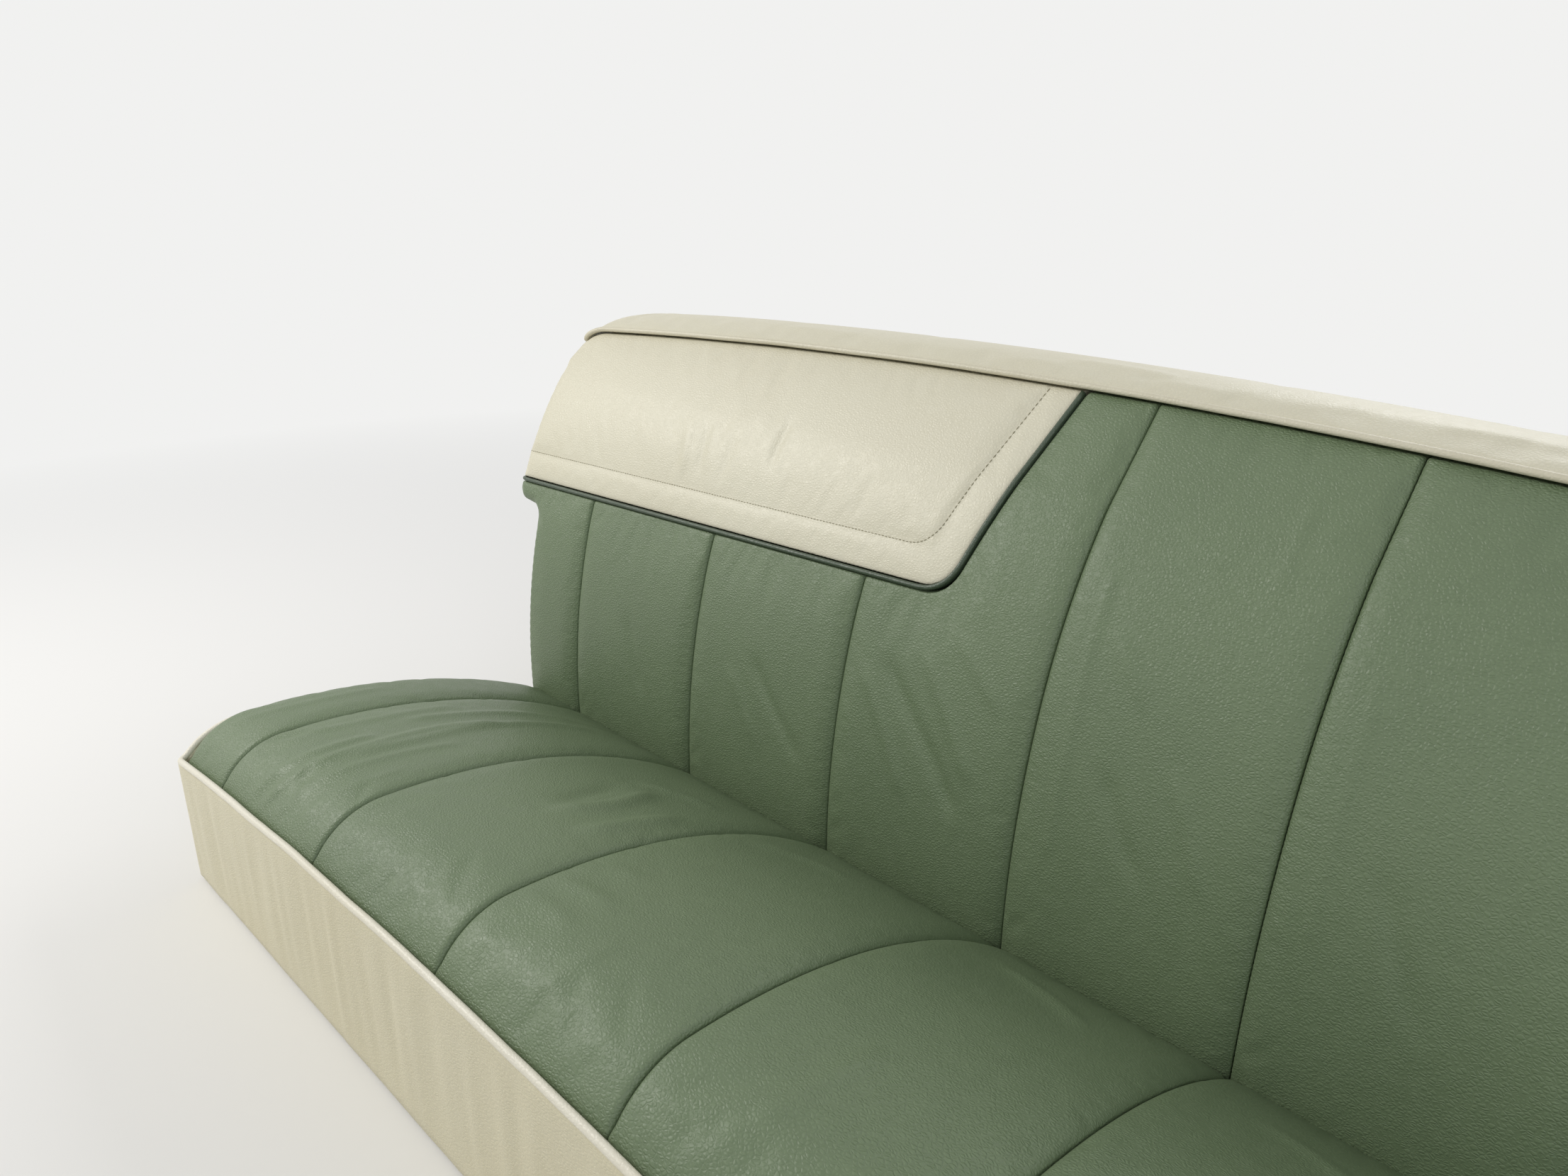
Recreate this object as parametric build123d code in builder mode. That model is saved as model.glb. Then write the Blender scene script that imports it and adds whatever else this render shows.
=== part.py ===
from build123d import *
import math
import os

os.makedirs("parts", exist_ok=True)

# Rear bench seat of a two-door hardtop: a cushion and a seat back, in millimetres.
# X runs across the car, -Y is where the sitter faces, Z is up, and the floor is at Z 0.
# Side outlines are drawn from the crease: setback behind it, then height above it.

# Driving sizes of the whole seat
seam_pitch = 244.0          # width of one sewn panel
end_panel_width = 127.0     # the narrower panel at each end, at the crease
wing_overhang = 53.0        # how much wider the back is above its step
crease_height = 110.0       # crease between cushion and back, above the floor
soft_gap = 0.3              # clearance between soft pieces and what they lie on
seam_sink = 6.0             # depth of a sewn seam below the panels
seam_roll = 22.0            # width over which a panel rolls down into its seam

# Cushion
cushion_depth = 490.0       # front edge to crease
edge_height = 99.0          # front edge above the crease, in the middle of the seat
crest_height = 146.0        # highest line of the cushion above the crease
crest_setback = 86.0        # from the front edge back to the crest
nose_setback = 26.0         # a point of the rolled nose, behind the front edge
nose_rise = 26.0            # and above it
cushion_crown = 42.0        # fall of the crest from the middle to the ends
facing_thickness = 8.0
facing_bottom = 3.0         # lower edge of the facings above the floor
end_seam_drop = 16.0        # seam of an end facing below the padding's top edge
piping_radius = 4.0

# Seat back
back_height = 531.0         # top front edge above the crease, in the middle
back_lean = 201.0           # top front edge behind the crease
back_crown = 29.0           # fall of the top from the middle to the ends
back_corner_radius = 50.0
back_tail = 50.0            # how far the back reaches below the crease
step_height = 270.0         # step in the ends of the back, above the crease
hip_height = 20.0           # up to here the front of the back is upright
waist_setback = 33.0        # setback of the front of the back at this height
waist_height = 260.0
brow_length = 91.0          # height of the flat stretch under the top edge
brow_setback = 120.0        # setback where that stretch begins
back_piping_radius = 3.5

# Top roll
roll_depth = 111.0          # front edge to rear
roll_rise = 17.0            # crest of the roll above the piping
roll_flap = 46.0            # how far the roll hangs down behind
roll_wall = 22.0
roll_end = 10.0             # the roll stops this short of each end of the back

# Pale insert on the half at -X
insert_low = 333.0          # lower edge above the crease, at its inner end
insert_outer_low = 301.0    # the same at the outer end
insert_corner_x = -18.0
insert_top_x = 55.0
insert_corner_radius = 40.0
welt_width = 5.5
welt_stand = 2.5

# Steel work
angle_leg = 30.0            # leg of the base angles, and width of the back's channels
channel_depth = 18.0
spring_angle_drop = 20.0    # leg of the angles that carry the springs
sheet = 3.0
strap_width = 24.0
frame_inset = 2.0           # frame behind the facings and behind the crease
back_frame_inset = 30.0     # back's frame short of each end of the back, below its step
front_hang_height = 8.0     # cushion springs' line at the front, above the crease
rear_hang_height = -52.0    # and at the rear
low_hang_setback = 80.0     # back springs' line at the bottom, behind the crease
low_hang_rise = 10.0        # and above the padding's lower edge
high_hang_setback = 256.0   # the same line at the top
high_hang_drop = 53.0       # and below the back's top edge
wire = 4.0
spring_count = 6
cushion_waves = 13
back_waves = 15
bow_steps = 4               # straight lengths in the bow of springs, cloth and padding
wave_width = 46.0
cushion_bow = 20.0
back_bow = 26.0
clip_sheet = 1.5
spring_foot = 6.0           # end of a spring that lies flat on its rail
clip_width = 18.0
cloth = 2.0
hole_radius = 4.5
tab_width = 40.0
tab_length = 34.0
cushion_tab_spacing = 900.0
bracket_width = 34.0
bracket_spacing = 840.0
foot_length = 36.0
hanger_width = 40.0
hanger_stand = 12.0
hanger_tongue = 22.0

lower_half_width = 2.5 * seam_pitch + end_panel_width
upper_half_width = lower_half_width + wing_overhang
brow_height = back_height - brow_length
brow_slope = (back_lean - brow_setback) / brow_length
front_reach = cushion_depth + piping_radius * math.cos(math.pi / 8)
rear_reach = back_lean + roll_depth
crease_y = (front_reach - rear_reach) / 2
past = 60.0                 # how far a cutting outline runs past what it cuts

side_view = Plane(origin=(0, crease_y, crease_height), x_dir=(0, 1, 0), z_dir=(1, 0, 0))
front_view = Plane(origin=(0, crease_y, crease_height), x_dir=(1, 0, 0), z_dir=(0, -1, 0))
floor_view = Plane(origin=(0, crease_y, 0), x_dir=(1, 0, 0), z_dir=(0, 0, 1))


def save(builder, label):
    builder.part.label = label
    export_step(builder.part, f"parts/{label}.step")


def crown(x, fall, half_width):
    """Fall of a gently arched edge at x."""
    return fall * (x / half_width) ** 2


def seam_edges(half_width):
    """Edges of the seven sewn panels, from end to end."""
    return [-half_width] + [seam_pitch * (i - 2.5) for i in range(6)] + [half_width]


def ribbon(points, width):
    """Closed outline of a strip of this width along the points, with mitred corners."""
    headings = [math.atan2(y1 - y0, x1 - x0) for (x0, y0), (x1, y1) in zip(points, points[1:])]
    left, right = [], []
    for (x, y), before, after in zip(points, headings[:1] + headings, headings + headings[-1:]):
        turn = (after - before + math.pi) % (2 * math.pi) - math.pi
        normal = before + turn / 2 + math.pi / 2
        reach = width / 2 / math.cos(turn / 2)
        left.append((x + reach * math.cos(normal), y + reach * math.sin(normal)))
        right.append((x - reach * math.cos(normal), y - reach * math.sin(normal)))
    return left + right[::-1]


def bow_line(low, high, bow, lift=0.0):
    """Line bowed over a span in short straights, moved outward by lift."""
    run = (high[0] - low[0], high[1] - low[1])
    length = math.hypot(*run)
    middle = ((low[0] + high[0]) / 2 - run[1] / length * bow, (low[1] + high[1]) / 2 + run[0] / length * bow)
    with BuildLine(mode=Mode.PRIVATE):
        arc = ThreePointArc(low, middle, high)
    points = [arc @ (i / bow_steps) for i in range(bow_steps + 1)]
    return ribbon([(point.X, point.Y) for point in points], 2 * lift)[: bow_steps + 1]


def bow_band(low, high, bow, lift, thickness, half_width):
    """Bowed sheet over the springs of one frame."""
    near, far = bow_line(low, high, bow, lift), bow_line(low, high, bow, lift + thickness)
    with BuildSketch(side_view) as band:
        Polygon(*near, *far[::-1], align=None)
    return extrude(band.sketch, amount=half_width, both=True, mode=Mode.PRIVATE)


# Lines on which the springs are hung, front to rear in the cushion and bottom to top in the back
angle_front = -cushion_depth + facing_thickness + 1
angle_rear = -frame_inset
cushion_hang_front = (angle_front + 0.7 * angle_leg, front_hang_height)
cushion_hang_rear = (angle_rear - 0.7 * angle_leg, rear_hang_height)
back_hang_low = (low_hang_setback, low_hang_rise - back_tail)
back_hang_high = (high_hang_setback, back_height - high_hang_drop)
cloth_lift = wire / 2 + soft_gap
pad_lift = cloth_lift + max(cloth, clip_sheet) + soft_gap
spring_places = [seam_pitch * (i - (spring_count - 1) / 2) for i in range(spring_count)]


def cushion_nose(drop):
    """Front edge, nose and crest of the cushion in the side view."""
    return (
        (-cushion_depth + facing_thickness + soft_gap, edge_height - drop),
        (-cushion_depth + nose_setback, edge_height + nose_rise - drop),
        (-cushion_depth + crest_setback, crest_height - drop),
    )


def cushion_section(x, sink):
    """Side outline of the cushion's padding at x, its top lowered by sink."""
    front, nose, crest = cushion_nose(crown(x, cushion_crown, lower_half_width) + sink)
    crease = (-soft_gap, -sink / 2)
    bow = bow_line(cushion_hang_front, cushion_hang_rear, cushion_bow, pad_lift)
    with BuildSketch(side_view.offset(x)) as outline:
        with BuildLine():
            roll = ThreePointArc(front, nose, crest)
            TangentArc(crest, crease, tangent=roll % 1)
            Polyline(crease, (crease[0], bow[-1][1]), *bow[::-1], (front[0], bow[0][1]), front)
        make_face()
    return outline.sketch


def panel_stations(left, right):
    """Places across one panel, with how far its surface lies below the padding there."""
    return [
        (left + soft_gap / 2, seam_sink),
        (left + seam_roll, 0.0),
        (right - seam_roll, 0.0),
        (right - soft_gap / 2, seam_sink),
    ]


# Cushion: seven sewn panels over the padding
pad_half_width = lower_half_width - facing_thickness - soft_gap
cushion_edges = seam_edges(pad_half_width)
for number in range(7):
    stations = panel_stations(cushion_edges[number], cushion_edges[number + 1])
    with BuildPart() as cushion_panel:
        loft([cushion_section(x, sink) for x, sink in stations], ruled=True)
    save(cushion_panel, f"cushion_panel_{number + 1}")

# Front facing, from near the floor up to the piping
facing_low = facing_bottom - crease_height
facing_end_top = edge_height - cushion_crown
with BuildPart() as cushion_front_facing:
    with BuildSketch(front_view.offset(cushion_depth - facing_thickness)):
        with BuildLine():
            Polyline(
                (-lower_half_width, facing_end_top),
                (-lower_half_width, facing_low),
                (lower_half_width, facing_low),
                (lower_half_width, facing_end_top),
            )
            ThreePointArc(
                (lower_half_width, facing_end_top), (0, edge_height), (-lower_half_width, facing_end_top)
            )
        make_face()
    extrude(amount=facing_thickness)
save(cushion_front_facing, "cushion_front_facing")

# End facings, outside the padding, up to a seam that follows its top edge
end_front, end_nose, end_crest = cushion_nose(cushion_crown + end_seam_drop)
end_crease = (-soft_gap, -end_seam_drop)
with BuildPart() as cushion_end_facings:
    for x in (-lower_half_width, lower_half_width - facing_thickness):
        with BuildSketch(side_view.offset(x)):
            with BuildLine():
                roll = ThreePointArc(end_front, end_nose, end_crest)
                TangentArc(end_crest, end_crease, tangent=roll % 1)
                Polyline(end_crease, (end_crease[0], facing_low), (end_front[0], facing_low), end_front)
            make_face()
        extrude(amount=facing_thickness)
save(cushion_end_facings, "cushion_end_facings")

# Piping along the front edge
with BuildPart() as cushion_piping:
    sections = []
    for x in [lower_half_width * i / 8 for i in range(-8, 9)]:
        height = edge_height - crown(x, cushion_crown, lower_half_width) + piping_radius + soft_gap
        with BuildSketch(side_view.offset(x)) as ring:
            with Locations((-cushion_depth, height)):
                RegularPolygon(radius=piping_radius, side_count=8, rotation=22.5)
        sections.append(ring.sketch)
    loft(sections, ruled=True)
save(cushion_piping, "cushion_piping")

# Piping on the seam of each end facing, between the front facing and the back, in short straights
piping_bends, piping_runs = 6, 12
end_roll = ThreePointArc(end_front, end_nose, end_crest)
end_fall = TangentArc(end_crest, end_crease, tangent=end_roll % 1)


def beside(arc, part):
    """Middle of the piping beside this part of an arc of the seam, in the side view."""
    outward = (arc @ part - arc.arc_center).normalized()
    middle = arc @ part + outward * (piping_radius + soft_gap)
    return middle.X, middle.Y


with BuildPart() as cushion_end_piping:
    for x in (-lower_half_width + piping_radius, lower_half_width - piping_radius):
        with BuildLine(side_view.offset(x)) as seam:
            Polyline(
                *[beside(end_roll, 0.2 + 0.8 * i / piping_bends) for i in range(piping_bends)],
                *[beside(end_fall, 0.98 * i / piping_runs) for i in range(piping_runs + 1)],
            )
        with BuildSketch(Plane(origin=seam.line @ 0, x_dir=(1, 0, 0), z_dir=seam.line % 0)):
            RegularPolygon(radius=piping_radius, side_count=6)
        sweep(path=seam.line, transition=Transition.RIGHT)
save(cushion_end_piping, "cushion_end_piping")


def angle_bar(corner, along, up, half_length):
    """Angle bar across the seat: its corner, and the signed lengths of its two legs."""
    y, z = corner
    turn_y, turn_z = math.copysign(sheet, along), math.copysign(sheet, up)
    with BuildSketch(side_view) as section:
        Polygon(
            (y, z),
            (y + along, z),
            (y + along, z + turn_z),
            (y + turn_y, z + turn_z),
            (y + turn_y, z + up),
            (y, z + up),
            align=None,
        )
    extrude(section.sketch, amount=half_length, both=True)


# Base frame of angle bar on the floor, with flat cross members
floor_z = -crease_height
frame_half_width = lower_half_width - facing_thickness - frame_inset
with BuildPart() as cushion_front_rail:
    angle_bar((angle_front, floor_z), angle_leg, angle_leg, frame_half_width)
save(cushion_front_rail, "cushion_front_rail")

with BuildPart() as cushion_rear_rail:
    angle_bar((angle_rear, floor_z), -angle_leg, angle_leg, frame_half_width)
save(cushion_rear_rail, "cushion_rear_rail")

inner_front = angle_front + angle_leg
inner_rear = angle_rear - angle_leg
with BuildPart() as cushion_end_rails:
    for side in (-1, 1):
        with BuildSketch(front_view.offset(-inner_rear)):
            x = side * frame_half_width
            Polygon(
                (x, floor_z),
                (x - side * angle_leg, floor_z),
                (x - side * angle_leg, floor_z + sheet),
                (x - side * sheet, floor_z + sheet),
                (x - side * sheet, floor_z + angle_leg),
                (x, floor_z + angle_leg),
                align=None,
            )
        extrude(amount=inner_rear - inner_front)
save(cushion_end_rails, "cushion_end_rails")

member_places = [1.5 * seam_pitch * i for i in (-1, 0, 1)]
with BuildPart() as cushion_cross_members:
    with BuildSketch(floor_view):
        with Locations(*[(x, (inner_front + inner_rear) / 2) for x in member_places]):
            Rectangle(angle_leg, inner_rear - inner_front)
    extrude(amount=sheet)
save(cushion_cross_members, "cushion_cross_members")

# Angles that carry the cushion's springs, on posts that stand on the base frame
hang_rows = ((cushion_hang_front, angle_front + sheet, 1), (cushion_hang_rear, angle_rear - sheet, -1))
with BuildPart() as cushion_spring_rails:
    for (y, z), wall, inward in hang_rows:
        shelf = inward * (angle_leg - sheet)
        angle_bar((wall, z - wire / 2), shelf, -spring_angle_drop, frame_half_width - sheet)
save(cushion_spring_rails, "cushion_spring_rails")

post_places = [(frame_half_width - sheet - strap_width) * i / 2 for i in range(-2, 3)]
with BuildPart() as cushion_posts:
    for (y, z), wall, inward in hang_rows:
        with BuildSketch(floor_view.offset(sheet)):
            with Locations(*[(x, wall + inward * sheet / 2) for x in post_places]):
                Rectangle(strap_width, sheet)
        extrude(amount=z - wire / 2 - spring_angle_drop + crease_height - sheet)
save(cushion_posts, "cushion_posts")

# Sloping braces between the two spring angles, at the ends
brace_front = (inner_front, cushion_hang_front[1] - wire / 2)
brace_rear = (inner_rear, cushion_hang_rear[1] - wire / 2)
with BuildPart() as cushion_end_braces:
    for x in (-frame_half_width + sheet, frame_half_width - sheet - strap_width):
        with BuildSketch(side_view.offset(x)):
            Polygon(
                brace_front,
                brace_rear,
                (brace_rear[0], brace_rear[1] - sheet),
                (brace_front[0], brace_front[1] - sheet),
                align=None,
            )
        extrude(amount=strap_width)
save(cushion_end_braces, "cushion_end_braces")

# Floor tabs behind the front rail, each with a hole for a screw
with BuildPart() as cushion_floor_tabs:
    with BuildSketch(floor_view):
        tab_y = inner_front + tab_length / 2
        with Locations(*[(side * cushion_tab_spacing / 2, tab_y) for side in (-1, 1)]):
            Rectangle(tab_width, tab_length)
            Circle(hole_radius, mode=Mode.SUBTRACT)
    extrude(amount=sheet)
save(cushion_floor_tabs, "cushion_floor_tabs")


def wave_points(length, waves):
    """Middle line of a sinuous wire: cross runs joined by bends with cut corners."""
    pitch = length / waves
    cut = 0.3 * pitch
    points = [(0, 0)]
    for i in range(waves):
        side = 1 if i % 2 == 0 else -1
        edge, inner = side * wave_width / 2, side * (wave_width / 2 - cut)
        near, far = i * pitch, (i + 1) * pitch
        points += [(inner, near), (edge, near + cut), (edge, far - cut), (inner, far)]
    return points + [(0, length)]


def bow_slab(low, high, bow, foot):
    """The layer that bowed springs fill, with a foot beyond each end."""
    near, far = (low[0] - foot[0], low[1] - foot[1]), (high[0] + foot[0], high[1] + foot[1])
    with BuildSketch(side_view) as layer:
        Polygon(*ribbon([near, *bow_line(low, high, bow), far], wire), align=None)
    return extrude(layer.sketch, amount=lower_half_width, both=True, mode=Mode.PRIVATE)


# Cushion springs: waves seen from above, bowed from front to rear
with BuildPart() as cushion_springs:
    with BuildSketch(floor_view.offset(crease_height + cushion_hang_rear[1] - past)):
        with Locations(*[(x, cushion_hang_front[0] - spring_foot) for x in spring_places]):
            run = cushion_hang_rear[0] - cushion_hang_front[0] + 2 * spring_foot
            Polygon(*ribbon(wave_points(run, cushion_waves), wire), align=None)
    extrude(amount=cushion_hang_front[1] - cushion_hang_rear[1] + cushion_bow + 2 * past)
    foot = (spring_foot + wire, 0)
    add(bow_slab(cushion_hang_front, cushion_hang_rear, cushion_bow, foot), mode=Mode.INTERSECT)
save(cushion_springs, "cushion_springs")


def clip_outline(hang, outward):
    """Side outline of a clip bent over a spring's foot and down to its rail."""
    near = hang[0] + outward * spring_foot / 3
    inside = hang[0] + outward * (spring_foot + wire / 2 + soft_gap)
    outside = inside + outward * clip_sheet
    rail, low = hang[1] - wire / 2, hang[1] + wire / 2 + soft_gap
    high = low + clip_sheet
    return [(near, low), (inside, low), (inside, rail), (outside, rail), (outside, high), (near, high)]


with BuildPart() as cushion_spring_clips:
    for hang, outward in ((cushion_hang_front, -1), (cushion_hang_rear, 1)):
        for x in spring_places:
            with BuildSketch(side_view.offset(x - clip_width / 2)):
                Polygon(*clip_outline(hang, outward), align=None)
            extrude(amount=clip_width)
save(cushion_spring_clips, "cushion_spring_clips")

cloth_half_width = frame_half_width - sheet
with BuildPart() as cushion_spring_cloth:
    add(bow_band(cushion_hang_front, cushion_hang_rear, cushion_bow, cloth_lift, cloth, cloth_half_width))
save(cushion_spring_cloth, "cushion_spring_cloth")

# Leaning frame of the back: planes across the seat, in the frame, and square to it
rise = (back_hang_high[0] - back_hang_low[0], back_hang_high[1] - back_hang_low[1])
back_rise = math.hypot(*rise)
up_frame = (0, rise[0] / back_rise, rise[1] / back_rise)
off_frame = (0, -up_frame[2], up_frame[1])
hang_origin = (0, crease_y + back_hang_low[0], crease_height + back_hang_low[1])
frame_plane = Plane(origin=hang_origin, x_dir=(1, 0, 0), z_dir=off_frame)
frame_side = Plane(origin=hang_origin, x_dir=up_frame, z_dir=(1, 0, 0))
frame_top = Plane(origin=hang_origin, x_dir=(1, 0, 0), z_dir=up_frame)


def back_section(x, sink):
    """Side outline of the back's padding at x, its face set back by sink, its top not yet crowned."""
    bow = bow_line(back_hang_low, back_hang_high, back_bow, pad_lift)
    face = soft_gap + sink
    foot_rear = (bow[0][0] - 8, -back_tail)
    with BuildSketch(side_view.offset(x)) as outline:
        with BuildLine():
            Line((face, -back_tail), (face, hip_height))
            shin = TangentArc((face, hip_height), (waist_setback + sink, waist_height), tangent=(0, 1))
            TangentArc(shin @ 1, (brow_setback + sink, brow_height), tangent=shin % 1)
            Polyline(
                (brow_setback + sink, brow_height),
                (back_lean + sink, back_height),
                (bow[-1][0], back_height),
                *bow[::-1],
                foot_rear,
                (face, -back_tail),
            )
        make_face()
    return outline.sketch


def back_outline(grow=0.0):
    """The whole back seen from the front: crowned top, rounded corners, steps in the ends.

    The outline lies behind everything, to be extruded forward."""
    shoulder = back_height - back_crown + grow
    with BuildSketch(front_view.offset(-rear_reach - past)) as outline:
        with BuildLine():
            ThreePointArc(
                (-upper_half_width, shoulder), (0, back_height + grow), (upper_half_width, shoulder)
            )
            Polyline(
                (upper_half_width, shoulder),
                (upper_half_width, step_height),
                (lower_half_width, step_height),
                (lower_half_width, -back_tail),
                (-lower_half_width, -back_tail),
                (-lower_half_width, step_height),
                (-upper_half_width, step_height),
                (-upper_half_width, shoulder),
            )
        make_face()
        corners = outline.vertices().group_by(Axis.X)
        fillet([corners[0].sort_by(Axis.Y)[-1], corners[-1].sort_by(Axis.Y)[-1]], radius=back_corner_radius)
    return outline.sketch


def insert_outline(grow=0.0):
    """The insert seen from the front, running past the top and the outer end."""
    with BuildSketch(front_view, mode=Mode.PRIVATE) as outline:
        with BuildLine():
            FilletPolyline(
                (-upper_half_width - past, insert_outer_low - grow),
                (insert_corner_x + grow, insert_low - grow),
                (insert_top_x + grow, back_height + past),
                (-upper_half_width - past, back_height + past),
                radius=insert_corner_radius,
                close=True,
            )
        make_face()
    return outline.sketch


outline_depth = rear_reach + past + cushion_depth
insert_depth = back_lean + past

# Back: seven sewn panels, the first four cut back for the insert and its welt
back_edges = seam_edges(upper_half_width)
for number in range(7):
    stations = panel_stations(back_edges[number], back_edges[number + 1])
    with BuildPart() as back_panel:
        loft([back_section(x, sink) for x, sink in stations], ruled=True)
        extrude(back_outline(), amount=outline_depth, mode=Mode.INTERSECT)
        if back_edges[number] < insert_top_x:
            extrude(insert_outline(welt_width + soft_gap), amount=-insert_depth, mode=Mode.SUBTRACT)
    save(back_panel, f"back_panel_{number + 1}")

insert_end = -upper_half_width + soft_gap / 2
insert_length = insert_top_x + past - insert_end
with BuildPart() as back_insert:
    extrude(back_section(insert_end, 0), amount=insert_length)
    extrude(insert_outline(-soft_gap), amount=-insert_depth, mode=Mode.INTERSECT)
    extrude(back_outline(), amount=outline_depth, mode=Mode.INTERSECT)
save(back_insert, "back_insert")

with BuildPart() as back_insert_welt:
    extrude(back_section(insert_end, -welt_stand), amount=insert_length)
    extrude(insert_outline(welt_width), amount=-insert_depth, mode=Mode.INTERSECT)
    extrude(insert_outline(), amount=-insert_depth, mode=Mode.SUBTRACT)
    extrude(back_section(insert_end, seam_sink), amount=insert_length, mode=Mode.SUBTRACT)
    extrude(back_outline(-2 * back_piping_radius), amount=outline_depth, mode=Mode.INTERSECT)
save(back_insert_welt, "back_insert_welt")


corner_centre = upper_half_width - back_corner_radius
corner_turn = math.asin(1 - roll_end / back_corner_radius)
corner_steps = 4
corner_sag = back_corner_radius * (1 - math.cos(corner_turn / corner_steps / 2))


def top_edge(x, clear):
    """Setback and height of the line this far clear of the back's top edge, round the corners too."""
    into_corner = max(0.0, abs(x) - corner_centre)
    drop = crown(min(abs(x), corner_centre), back_crown, upper_half_width) + back_corner_radius
    drop -= math.sqrt((back_corner_radius + clear) ** 2 - into_corner ** 2)
    return back_lean - brow_slope * drop, back_height - drop


def top_stations(spans):
    """Places across the back from end to end, closer together round the corners."""
    turns = [corner_turn * (i + 1) / corner_steps for i in range(corner_steps)]
    corner = [corner_centre + back_corner_radius * math.sin(turn) for turn in turns]
    inner = [corner_centre * i / spans for i in range(-spans, spans + 1)]
    return [-x for x in corner[::-1]] + inner + corner


def roll_section(x):
    """Side outline of the top roll at x: a lid of short straights with a flap behind."""
    top_y, top_z = top_edge(x, soft_gap + corner_sag)
    rear = back_lean + roll_depth
    into_end = max(0.0, abs(x) - (upper_half_width - back_corner_radius - roll_rise))
    rise_here = roll_rise * math.sqrt(1 - (into_end / (back_corner_radius + roll_rise)) ** 2)
    lid = [(top_y, top_z)]
    for part, height in ((0.14, 0.55), (0.34, 0.92), (0.55, 1.0), (0.78, 0.78), (0.94, 0.3)):
        lid.append((top_y + part * (rear - top_y), top_z + height * rise_here))
    inner = rear - roll_wall
    with BuildSketch(side_view.offset(x)) as outline:
        Polygon(
            *lid,
            (rear, top_z - roll_flap / 6),
            (rear - roll_wall / 6, top_z - roll_flap),
            (inner, top_z - roll_flap),
            (inner, top_z),
            align=None,
        )
    return outline.sketch


with BuildPart() as back_top_roll:
    loft([roll_section(x) for x in top_stations(6)], ruled=True)
save(back_top_roll, "back_top_roll")

# Piping along the top front edge, round both corners
brow_angle = math.atan(brow_slope)
with BuildPart() as back_top_piping:
    sections = []
    stand = back_piping_radius + soft_gap
    for x in top_stations(6):
        top_y, top_z = top_edge(x, corner_sag)
        with BuildSketch(side_view.offset(x)) as ring:
            with Locations((top_y - stand * math.cos(brow_angle), top_z + stand * math.sin(brow_angle))):
                RegularPolygon(radius=back_piping_radius, side_count=6)
        sections.append(ring.sketch)
    loft(sections, ruled=True)
save(back_top_piping, "back_top_piping")


def channel_section(plane, centre):
    """Channel with its web at the springs and its lips to the rear: the plane's first axis is its width."""
    half, web = angle_leg / 2, -wire / 2
    lip = web - channel_depth
    with BuildSketch(plane) as section:
        with Locations(centre):
            Polygon(
                (-half, web),
                (half, web),
                (half, lip),
                (half - sheet, lip),
                (half - sheet, web - sheet),
                (-half + sheet, web - sheet),
                (-half + sheet, lip),
                (-half, lip),
                align=None,
            )
    return section.sketch


back_half_width = lower_half_width - back_frame_inset
for label, place in (("back_bottom_rail", 0), ("back_top_rail", back_rise)):
    with BuildPart() as back_rail:
        extrude(channel_section(frame_side, (place, 0)), amount=back_half_width, both=True)
    save(back_rail, label)

side_rail_x = back_half_width - angle_leg / 2
side_length = back_rise - angle_leg
side_plane = Plane(origin=frame_top.offset(angle_leg / 2).origin, x_dir=(-1, 0, 0), z_dir=up_frame)
with BuildPart() as back_side_rails:
    for side in (-1, 1):
        extrude(channel_section(side_plane, (side * side_rail_x, 0)), amount=side_length)
save(back_side_rails, "back_side_rails")

with BuildPart() as back_uprights:
    with BuildSketch(frame_plane.offset(-wire / 2)):
        with Locations((-seam_pitch, back_rise / 2), (seam_pitch, back_rise / 2)):
            Rectangle(strap_width, side_length)
    extrude(amount=-sheet)
save(back_uprights, "back_uprights")

# Back springs: waves seen square to the frame, bowed from bottom to top
with BuildPart() as back_springs:
    with BuildSketch(frame_plane.offset(-past)):
        with Locations(*[(x, -spring_foot) for x in spring_places]):
            Polygon(*ribbon(wave_points(back_rise + 2 * spring_foot, back_waves), wire), align=None)
    extrude(amount=back_bow + 2 * past)
    foot = ((spring_foot + wire) * up_frame[1], (spring_foot + wire) * up_frame[2])
    add(bow_slab(back_hang_low, back_hang_high, back_bow, foot), mode=Mode.INTERSECT)
save(back_springs, "back_springs")

with BuildPart() as back_spring_clips:
    for place, outward in ((0, -1), (back_rise, 1)):
        for x in spring_places:
            with BuildSketch(frame_side.offset(x - clip_width / 2)):
                Polygon(*clip_outline((place, 0), outward), align=None)
            extrude(amount=clip_width)
save(back_spring_clips, "back_spring_clips")

with BuildPart() as back_spring_cloth:
    add(bow_band(back_hang_low, back_hang_high, back_bow, cloth_lift, cloth, back_half_width))
save(back_spring_cloth, "back_spring_cloth")


def frame_point(along, behind):
    """Side-view point this far up the leaning frame and behind its spring line."""
    return (
        back_hang_low[0] + along * up_frame[1] + behind * up_frame[2],
        back_hang_low[1] + along * up_frame[2] - behind * up_frame[1],
    )


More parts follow.
